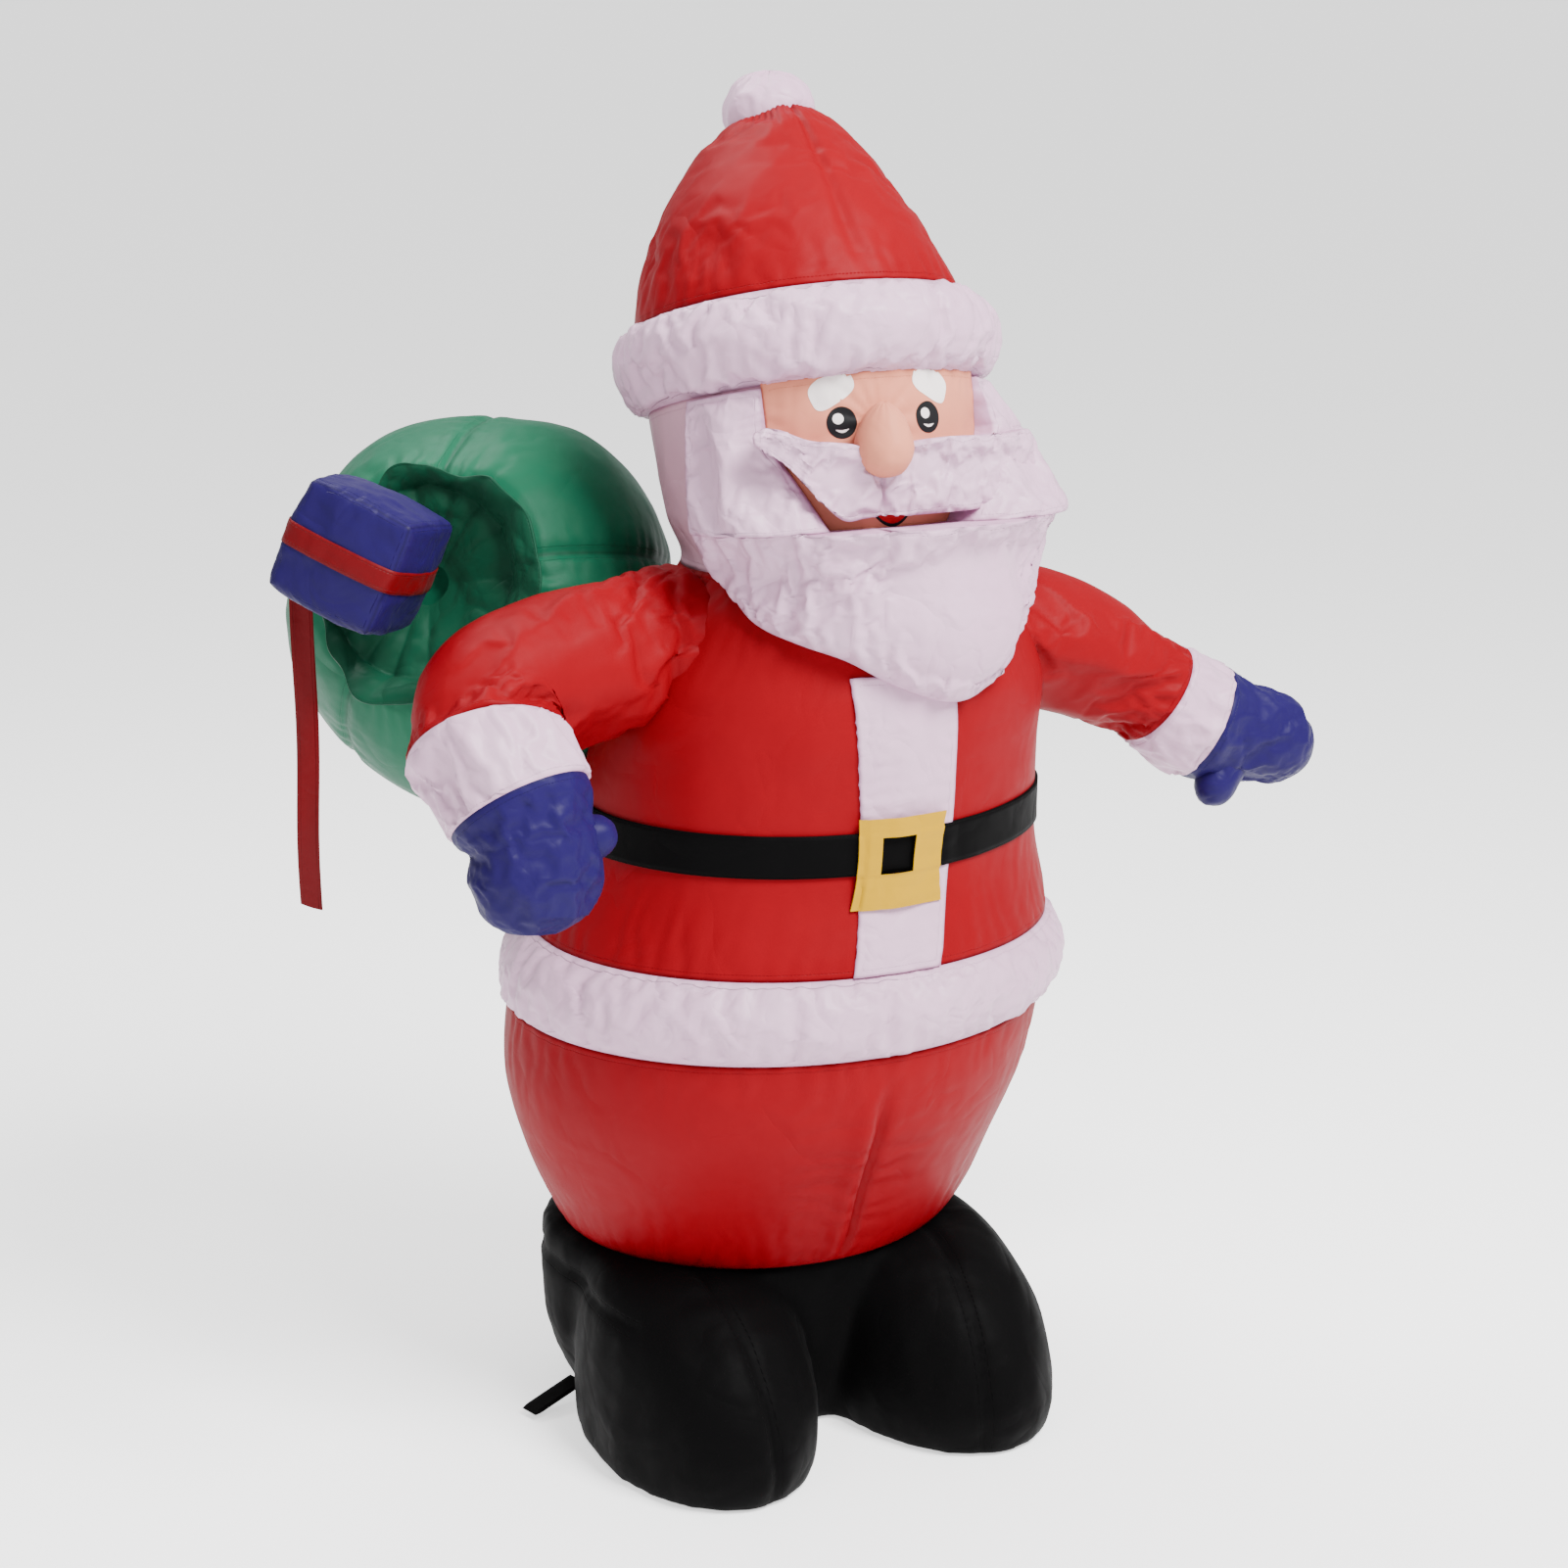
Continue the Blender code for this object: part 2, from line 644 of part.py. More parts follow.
skin = face("face")
boolean(skin, head_room, "DIFFERENCE")
for side, sign in (("right", -1), ("left", 1)):
    boolean(beard_side(side, sign), head_room, "DIFFERENCE")
bib_room = room("bib_room", HEM_TOP + SEAM_GAP, NECK, 9, grow=BIB_STAND)
shelf = bib()
for room_cut in [bib_room, placket_room, head_room] + sleeve_rooms:
    boolean(shelf, room_cut, "DIFFERENCE")
face_room = face("face_room", 2 * SEAM_GAP)
lobes = moustache()
boolean(lobes, head_room, "DIFFERENCE")
boolean(lobes, face_room, "DIFFERENCE")
boolean(lobes, nose("nose_room", 2 * SEAM_GAP), "DIFFERENCE")
for side, sign in (("right_room", -1), ("left_room", 1)):
    boolean(lobes, beard_side(side, sign, 4 * SEAM_GAP), "DIFFERENCE")
knob = nose("nose")
boolean(knob, head_room, "DIFFERENCE")
boolean(knob, face_room, "DIFFERENCE")
pompom = ball("pompom", POMPOM_MIDDLE, POMPOM_HALF, "white", rings=9, count=16)
boolean(pompom, crown_room, "DIFFERENCE")


# Sack
SACK_MIDDLE = Vector((-0.191, 0.133, 0.609)) * H
SACK_AXIS = Vector((-0.62, -0.70, 0.35)).normalized()
SACK_HALF = 0.150 * H
SACK_LENGTH = 0.152 * H
SACK_GORES = 5
SACK_PINCH = 0.02
SACK_DRAW = 1.45
SACK_BOTTOM_BOW = radians(-82)
SACK_MOUTH_BOW = radians(48)
COLLAR_LENGTH = 0.052 * H
COLLAR_SHORT = 0.018 * H
COLLAR_RADIUS = 0.070 * H
COLLAR_FLARE = 0.020 * H
COLLAR_WAVE = 0.003 * H
COLLAR_WAVES = 7
COLLAR_LONG_TURN = radians(-125)
TIE_AT = 0.002 * H
TAIL_ROOT = Vector((-0.354, 0.056, 0.634)) * H

sack_side = SACK_AXIS.cross(Vector((0, 0, 1))).normalized()
sack_up = sack_side.cross(SACK_AXIS).normalized()


def sack_point(along_axis, radius, angle):
    return (SACK_MIDDLE + SACK_AXIS * along_axis
            + sack_side * (radius * sin(angle)) + sack_up * (radius * cos(angle)))


def sack():
    rings = []
    for k in range(10):
        bow = SACK_BOTTOM_BOW + (SACK_MOUTH_BOW - SACK_BOTTOM_BOW) * k / 9
        wide = SACK_HALF * cos(bow) ** (SACK_DRAW if bow > 0 else 1.0)
        rings.append([sack_point(SACK_LENGTH * sin(bow),
                                 wide * (1 - SACK_PINCH * cos(SACK_GORES * a)), a)
                      for a in turn()])
    return loft("sack", rings, "green")


SACK_MOUTH = SACK_LENGTH * sin(SACK_MOUTH_BOW)
GIFT_MIDDLE = Vector((-0.323, 0.008, 0.683)) * H
GIFT_UP = Vector((0.38, -0.14, 0.90)).normalized()
GIFT_FACE = Vector((-0.63, -0.76, 0.15))


def gift_frame():
    """The gift's middle and its three directions."""
    face_way = (GIFT_FACE - GIFT_UP * GIFT_FACE.dot(GIFT_UP)).normalized()
    other = GIFT_UP.cross(face_way)
    turned = Matrix((face_way, other, GIFT_UP)).transposed().to_4x4()
    turned.translation = GIFT_MIDDLE
    return turned


def gift(name, grow=0.0):
    shape = bmesh.new()
    bmesh.ops.create_cube(shape, size=GIFT_SIZE + 2 * grow)
    bmesh.ops.bevel(shape, geom=shape.edges[:], offset=GIFT_ROUNDING, segments=3,
                    profile=0.5, affect="EDGES")
    shape.transform(gift_frame())
    return make(name, shape, "blue")


def gift_band():
    """A square hoop lying on the gift."""
    inner = GIFT_SIZE / 2 + SEAM_GAP
    rings = []
    for lift, thick in ((-1, 0.0), (1, 0.0), (1, GIFT_RIBBON_THICK), (-1, GIFT_RIBBON_THICK)):
        ring = []
        for quarter in range(4):
            for step in range(4):
                a = radians(90 * quarter + 30 * step)
                centre = inner - GIFT_ROUNDING
                corner = Vector(((1, 1), (-1, 1), (-1, -1), (1, -1))[quarter]) * centre
                out = (GIFT_ROUNDING + thick) * Vector((cos(a), sin(a)))
                spot = corner + out
                ring.append(gift_frame() @ Vector((spot.x, spot.y, lift * GIFT_RIBBON_WIDTH / 2)))
        rings.append(ring)
    return hoop("gift_ribbon", rings, "red")


def collar_radius(out, angle):
    """The collar's inner radius at a distance out from the mouth."""
    share = out / COLLAR_LENGTH
    return COLLAR_RADIUS + COLLAR_FLARE * share + COLLAR_WAVE * share * cos(COLLAR_WAVES * angle)


def collar_reach(angle):
    """How far the collar stands out of the mouth, least where the gift leans on it."""
    share = 0.5 + 0.5 * cos(angle - COLLAR_LONG_TURN)
    return COLLAR_SHORT + (COLLAR_LENGTH - COLLAR_SHORT) * share


def collar():
    rings = []
    for share, lift in ((0, 0), (0.5, 0), (1, 0), (1, 1), (0.5, 1), (0, 1)):
        ring = []
        for a in turn(24):
            out = SEAM_GAP + collar_reach(a) * share
            ring.append(sack_point(SACK_MOUTH + out, collar_radius(out, a) + COLLAR_THICK * lift, a))
        rings.append(ring)
    return hoop("sack_collar", rings, "dark_green")


def tie():
    """A ribbon round the root of the collar."""
    off = COLLAR_THICK + 4 * SEAM_GAP
    rings = []
    for out, lift in ((TIE_AT, 0), (TIE_AT + TIE_WIDTH, 0), (TIE_AT + TIE_WIDTH, 1), (TIE_AT, 1)):
        rings.append([sack_point(SACK_MOUTH + out, collar_radius(out, a) + off + TIE_THICK * lift, a)
                      for a in turn(24)])
    return hoop("tie_ribbon", rings, "red")


def tail():
    """The tie's free end, hanging straight down."""
    across = Vector((0.906, -0.423, 0.0))
    front = Vector((-0.423, -0.906, 0.0))
    grids = []
    for lift in (0.0, TAIL_THICK):
        rows = []
        for i in range(9):
            down = TAIL_LENGTH * i / 8
            sway = 0.006 * sin(pi * i / 8)
            middle = TAIL_ROOT + Vector((0, 0, -down)) + front * (lift + sway)
            rows.append([middle + across * (TAIL_WIDTH * (j / 2 - 0.5)) for j in range(3)])
        grids.append(rows)
    return slab("ribbon_tail", grids[0], grids[1], "red")


bag = sack()
gift("gift")
gift_band()
neck_cloth = collar()
neck_tie = tie()
tail()
tether()

gift_room = gift("gift_room", GIFT_RIBBON_THICK + 2 * SEAM_GAP)
boolean(bag, jacket_room, "DIFFERENCE")
boolean(bag, sleeve_rooms[0], "DIFFERENCE")
boolean(bag, gift_room, "DIFFERENCE")
boolean(neck_cloth, gift_room, "DIFFERENCE")
boolean(neck_cloth, sleeve_rooms[0], "DIFFERENCE")
boolean(neck_tie, sleeve_rooms[0], "DIFFERENCE")
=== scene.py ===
"""Looks of an inflatable Santa: sewn nylon filled with air, a sack on the shoulder."""

from itertools import product
from math import cos, pi, radians, sin

import bmesh
import bpy
import numpy as np
from bpy.props import BoolProperty, FloatProperty, FloatVectorProperty, PointerProperty
from mathutils import Matrix, Vector
from mathutils.bvhtree import BVHTree


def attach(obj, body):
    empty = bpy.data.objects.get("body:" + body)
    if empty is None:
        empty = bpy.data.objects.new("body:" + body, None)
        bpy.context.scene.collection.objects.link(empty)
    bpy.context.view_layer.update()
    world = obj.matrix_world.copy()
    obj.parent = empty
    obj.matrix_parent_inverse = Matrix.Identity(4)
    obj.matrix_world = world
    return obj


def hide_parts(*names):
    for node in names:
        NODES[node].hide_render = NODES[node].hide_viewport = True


bl_info = {
    "name": "Inflatable Santa",
    "version": (1, 0, 0),
    "blender": (4, 5, 0),
    "location": "3D View > Sidebar > Santa",
    "description": "Builds the cloth, print and stage of an inflatable Santa",
    "category": "Object",
}

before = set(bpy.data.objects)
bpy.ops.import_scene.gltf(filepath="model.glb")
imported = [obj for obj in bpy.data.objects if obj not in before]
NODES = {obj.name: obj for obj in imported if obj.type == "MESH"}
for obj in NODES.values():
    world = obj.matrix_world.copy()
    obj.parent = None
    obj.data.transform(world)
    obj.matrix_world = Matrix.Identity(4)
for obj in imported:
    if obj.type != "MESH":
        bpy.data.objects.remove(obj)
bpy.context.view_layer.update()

# The figure's form, in shares of its height
H = 1.19
# Rows: height, middle across, middle in depth, half width, half depth, lean in degrees
SPINE = np.array([
    (0.125, -0.016, 0.030, 0.144, 0.132, 0),
    (0.155, -0.014, 0.022, 0.163, 0.150, 0),
    (0.210, -0.018, 0.010, 0.185, 0.169, 0),
    (0.270, -0.016, 0.000, 0.203, 0.185, 0),
    (0.330, -0.010, -0.006, 0.207, 0.188, 0),
    (0.385, -0.001, -0.012, 0.200, 0.178, 0),
    (0.450, 0.007, -0.018, 0.180, 0.156, 0),
    (0.520, 0.013, -0.026, 0.172, 0.146, 0),
    (0.580, 0.020, -0.034, 0.164, 0.136, 0),
    (0.635, 0.022, -0.038, 0.136, 0.118, 0),
    (0.665, 0.018, -0.038, 0.108, 0.108, 3),
    (0.700, 0.014, -0.036, 0.114, 0.116, 7),
    (0.745, 0.011, -0.032, 0.118, 0.120, 12),
    (0.790, 0.008, -0.026, 0.119, 0.121, 16),
    (0.830, 0.003, -0.020, 0.119, 0.120, 17),
    (0.880, -0.002, -0.005, 0.107, 0.107, 17),
    (0.915, -0.001, 0.006, 0.088, 0.088, 17),
    (0.945, 0.001, 0.016, 0.065, 0.065, 17),
    (0.966, 0.003, 0.022, 0.044, 0.044, 17),
    (0.978, 0.005, 0.026, 0.024, 0.024, 17),
    (0.983, 0.006, 0.028, 0.008, 0.008, 17),
])
TROUSERS_FOOT = 0.140 * H
HEM_BOTTOM = 0.328 * H
HEM_TOP = 0.388 * H
BELT_MIDDLE = 0.474 * H
PLACKET_TOP = 0.600 * H
NECK = 0.662 * H
BRIM_BOTTOM = 0.778 * H
BRIM_TOP = 0.838 * H
CROWN_TIP = 0.981 * H


# Forms
def curve(table, t):
    """A smooth curve through a table's rows, read at many places of its first column."""
    t = np.clip(np.asarray(t, float), table[0, 0], table[-1, 0])
    k = np.clip(np.searchsorted(table[:, 0], t, side="right") - 1, 0, len(table) - 2)
    a, b = table[k], table[k + 1]
    before, after = table[np.maximum(k - 1, 0)], table[np.minimum(k + 2, len(table) - 1)]
    span = b[..., :1] - a[..., :1]
    u = (t[..., None] - a[..., :1]) / span
    rise_a = (b - before) / (b[..., :1] - before[..., :1]) * span
    rise_b = (after - a) / (after[..., :1] - a[..., :1]) * span
    out = ((2 * u**3 - 3 * u**2 + 1) * a + (u**3 - 2 * u**2 + u) * rise_a
           + (3 * u**2 - 2 * u**3) * b + (u**3 - u**2) * rise_b)
    return out[..., 1:]


def figure(height, angle, off=0.0):
    """Points on the figure; angle 0 is straight in front, growing to its left."""
    height, angle, off = np.broadcast_arrays(np.asarray(height, float), angle, off)
    row = curve(SPINE, height / H)
    tilt = np.radians(row[..., 4])
    ahead = (row[..., 3] * H + off) * np.cos(angle)
    return np.stack([row[..., 0] * H + (row[..., 2] * H + off) * np.sin(angle),
                     row[..., 1] * H - ahead * np.cos(tilt),
                     height + ahead * np.sin(tilt)], -1)


def swell(share):
    """A half round from 0 at one end to 1 at the middle and 0 at the other end."""
    return np.sqrt(np.clip(1.0 - (2.0 * share - 1.0)**2, 0.0, 1.0))


def soft(points, seed=0):
    """Smooth noise from -1 to 1, one cell a unit."""
    cell = np.floor(points).astype(np.int64)
    part = points - cell
    part = part * part * (3 - 2 * part)
    total = 0.0
    for corner in product((0, 1), repeat=3):
        place = cell + np.array(corner)
        mix = place[..., 0] * 73856093 ^ place[..., 1] * 19349663 ^ place[..., 2] * 83492791
        mix = (mix ^ seed * 2654435761) & 0x7FFFFFFF
        mix = (mix ^ (mix >> 13)) * 1274126177 & 0x7FFFFFFF
        mix = (mix ^ (mix >> 16)) * 668265263 & 0x7FFFFFFF
        value = ((mix >> 7) % 65536) / 32768.0 - 1.0
        weight = np.prod(np.where(np.array(corner) == 1, part, 1 - part), axis=-1)
        total = total + weight * value
    return total


def crumple(points, size, depth, seed=0):
    """Soft cloth with sharp creases, of a given size and depth."""
    p = points / size
    p = p + 0.35 * np.stack([soft(p * 0.9, seed + 5), soft(p * 0.9, seed + 6),
                             soft(p * 0.9, seed + 7)], -1)
    first = 0.6 - np.abs(soft(p, seed)) * 2
    second = 0.5 - np.abs(soft(p * 2.1 + 7.3, seed + 1)) * 2
    return depth * (0.65 * first + 0.35 * second + 0.35 * soft(p * 0.6, seed + 2))


def gathers(phase, points, away, reach, depth, seed=0):
    """Puckers running out of a seam; phase counts folds along it, away is the distance."""
    p = points / 0.05
    path = phase + 0.8 * soft(p * 0.8, seed) + 0.4 * soft(points / 0.02, seed + 1)
    fold = np.abs(np.sin(pi * path))**0.8 - 0.65
    strong = 0.55 + 0.45 * soft(p * 0.9 + 3.1, seed + 2)
    length = reach * (0.35 + 1.0 * strong)
    return depth * fold * strong * np.exp(-(away / length)**1.4) * (1 - np.exp(-away / 0.0035))


def normals(grid, wrap):
    """Unit normals of a grid of points, rows first."""
    down = np.gradient(grid, axis=0)
    if wrap:
        across = np.roll(grid, -1, axis=1) - np.roll(grid, 1, axis=1)
    else:
        across = np.gradient(grid, axis=1)
    out = np.cross(across, down)
    return out / np.maximum(np.linalg.norm(out, axis=-1, keepdims=True), 1e-12)


def one_long(ways):
    """The same directions, each 1 long."""
    return ways / np.linalg.norm(ways, axis=-1, keepdims=True)


def lengths(grid, axis):
    """Distance run along the rows or columns of a grid, in metres."""
    step = np.linalg.norm(np.diff(grid, axis=axis), axis=-1)
    start = np.zeros_like(np.take(step, [0], axis=axis))
    return np.concatenate([start, np.cumsum(step, axis=axis)], axis=axis)


def off_ends(grid, axis):
    """Distance of each point from the nearer end of its column or row."""
    run = lengths(grid, axis)
    return np.minimum(run, np.take(run, [-1], axis=axis) - run)


# Meshes
NO_SEAM = 1.0


def mark_cloth(mesh, flat, seam):
    """Give a mesh its place on the flat cloth and its distance from the seams, by vertex."""
    corner = np.zeros(len(mesh.loops), dtype=np.int32)
    mesh.loops.foreach_get("vertex_index", corner)
    layer = mesh.uv_layers.new(name="cloth")
    layer.data.foreach_set("uv", flat[corner].astype(np.float32).ravel())
    mark_seam(mesh, seam)


def mark_seam(mesh, seam):
    """Store each vertex's distance from the nearest seam, for the shader."""
    mark = mesh.attributes.new("seam", "FLOAT", "POINT")
    mark.data.foreach_set("value", np.full(len(mesh.vertices), seam, np.float32))


def vertex_rows(mesh, kind):
    """A mesh's vertex places or normals, one row each."""
    rows = np.zeros(len(mesh.vertices) * 3)
    mesh.vertices.foreach_get(kind, rows)
    return rows.reshape(-1, 3)


def build(name, grid, wrap, look, node=None, away=None, ends=(None, None)):
    """A smooth cloth skin through a grid of points, riding with the figure."""
    high, wide = grid.shape[:2]
    i, j = np.meshgrid(np.arange(high - 1), np.arange(wide if wrap else wide - 1), indexing="ij")
    right = (j + 1) % wide
    faces = np.stack([i * wide + j, i * wide + right, (i + 1) * wide + right,
                      (i + 1) * wide + j], -1).reshape(-1, 4)
    spots = grid.reshape(-1, 3)
    tri = []
    for row, way in zip((0, high - 1), ends):
        if way is not None:
            middle = len(spots)
            spots = np.vstack([spots, np.asarray(way).reshape(1, 3)])
            for c in range(wide):
                pair = (row * wide + c, row * wide + (c + 1) % wide)
                tri.append((middle,) + (pair if row else pair[::-1]))
    mesh = bpy.data.meshes.new(name)
    mesh.from_pydata(spots.tolist(), [], faces.tolist() + tri)
    uv = np.stack([lengths(grid, 1), lengths(grid, 0)], -1)
    flat = np.vstack([uv.reshape(-1, 2), np.zeros((len(spots) - high * wide, 2))])
    layer = mesh.uv_layers.new(name="cloth")
    corner = np.zeros(len(mesh.loops), dtype=np.int32)
    mesh.loops.foreach_get("vertex_index", corner)
    coords = flat[corner]
    if wrap:
        last = (np.arange(len(faces)) % wide) == wide - 1
        step = uv[:, -1, 0] * wide / (wide - 1)
        rows = np.arange(len(faces)) // wide
        block = coords[:len(faces) * 4].reshape(-1, 4, 2)
        block[last, 1, 0] = step[rows[last]]
        block[last, 2, 0] = step[rows[last] + 1]
    layer.data.foreach_set("uv", coords.astype(np.float32).ravel())
    if away is not None:
        mark_seam(mesh, np.concatenate([np.broadcast_to(away, (high, wide)).ravel(),
                                        np.full(len(spots) - high * wide, NO_SEAM)]))
    mesh.shade_smooth()
    return place(name, mesh, look, node)


def place(name, mesh, look, node=None):
    """Put a mesh in the scene in its cloth, in the place of a solid."""
    thing = bpy.data.objects.new(name, mesh)
    bpy.context.scene.collection.objects.link(thing)
    if look:
        mesh.materials.append(material(look))
    if node:
        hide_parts(*([node] if isinstance(node, str) else node))
    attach(thing, "root")
    return thing


def outward(thing):
    """Turn a closed or ring-shaped skin's faces outward."""
    shape = bmesh.new()
    shape.from_mesh(thing.data)
    bmesh.ops.recalc_face_normals(shape, faces=shape.faces)
    shape.to_mesh(thing.data)
    shape.free()


def surface(thing):
    """A piece's faces, for finding where a ray meets them."""
    return BVHTree.FromObject(thing, bpy.context.evaluated_depsgraph_get())


# Cloth simulation
CLOTH_FRAMES = 16
CLOTH_STIFF = 12.0
CLOTH_BEND = 0.02


def inflate(grid, wrap, growth, pressure, cap, seed=1):
    """Let a skin swell between its sewn edges, by no more than the cap."""
    if not props().simulate:
        return grid
    high, wide = grid.shape[:2]
    pins = np.zeros((high, wide), bool)
    pins[0] = pins[-1] = True
    if not wrap:
        pins[:, 0] = pins[:, -1] = True
    way = normals(grid, wrap)
    rough = grid + way * (0.0006 * soft(grid / 0.012, seed)
                          + 0.0006 * soft(grid / 0.03, seed + 1))[..., None]
    rough = np.where(pins[..., None], grid, rough)
    thing = build("cloth_test", rough, wrap, None)
    group = thing.vertex_groups.new(name="seams")
    group.add(np.flatnonzero(pins.ravel()).tolist(), 1.0, "REPLACE")
    step = thing.modifiers.new("air", "CLOTH")
    air = step.settings
    air.quality = 4
    air.mass = 0.05
    air.air_damping = 1.0
    air.tension_stiffness = CLOTH_STIFF
    air.compression_stiffness = CLOTH_STIFF
    air.shear_stiffness = CLOTH_STIFF / 2
    air.bending_stiffness = CLOTH_BEND
    air.vertex_group_mass = "seams"
    air.shrink_min = -growth
    air.use_pressure = True
    air.uniform_pressure_force = pressure
    air.effector_weights.gravity = 0.0
    step.collision_settings.use_collision = False
    step.point_cache.frame_start = 1
    step.point_cache.frame_end = CLOTH_FRAMES
    for number in range(1, CLOTH_FRAMES + 1):
        bpy.context.scene.frame_set(number)
    done = thing.evaluated_get(bpy.context.evaluated_depsgraph_get())
    spots = np.zeros(high * wide * 3)
    done.data.vertices.foreach_get("co", spots)
    spots = spots.reshape(high, wide, 3)
    bpy.data.objects.remove(thing, do_unlink=True)
    bpy.context.scene.frame_set(1)
    move = spots - grid
    size = np.linalg.norm(move, axis=-1, keepdims=True)
    return grid + move * np.minimum(1.0, cap / np.maximum(size, 1e-9))


# Colours and cloth
# Rows: crease depth in metres, crease size in metres, roughness, sheen, colour spread
CLOTHS = {
    "red": (0.0006, 0.080, 0.52, 0.0, 0.35),
    "white": (0.0014, 0.050, 0.42, 0.01, 0.60),
    "hood_in_painted_shade": (0.0008, 0.060, 0.48, 0.01, 0.50),
    "skin": (0.0004, 0.050, 0.50, 0.01, 0.30),
    "black": (0.0007, 0.080, 0.60, 0.01, 0.30),
    "blue": (0.0008, 0.045, 0.48, 0.01, 0.40),
    "green": (0.0006, 0.080, 0.46, 0.01, 0.45),
    "dark_green": (0.0010, 0.045, 0.52, 0.01, 0.45),
    "yellow": (0.0006, 0.040, 0.50, 0.01, 0.25),
    "ribbon": (0.0003, 0.030, 0.50, 0.01, 0.20),
    "print_white": (0.0002, 0.030, 0.55, 0.01, 0.05),
    "print_black": (0.0002, 0.030, 0.55, 0.01, 0.05),
    "print_red": (0.0002, 0.030, 0.55, 0.01, 0.05),
}
SHINE = {"black": 0.03, "red": 0.06, "white": 0.22}
PLAIN_SHINE = 0.10
SHEEN_ROUGHNESS = 0.4
# Distances and depths in metres, and waves in radians a metre
SEAM_SHADE = 0.0045
STITCHES_AWAY = 0.006
STITCH_TURNS = 1900.0
THREAD_TURNS = 7000.0
THREAD_HEIGHT = 0.000006
STITCH_DEPTH = 0.0004
LINE_SHARPNESS = 5.0


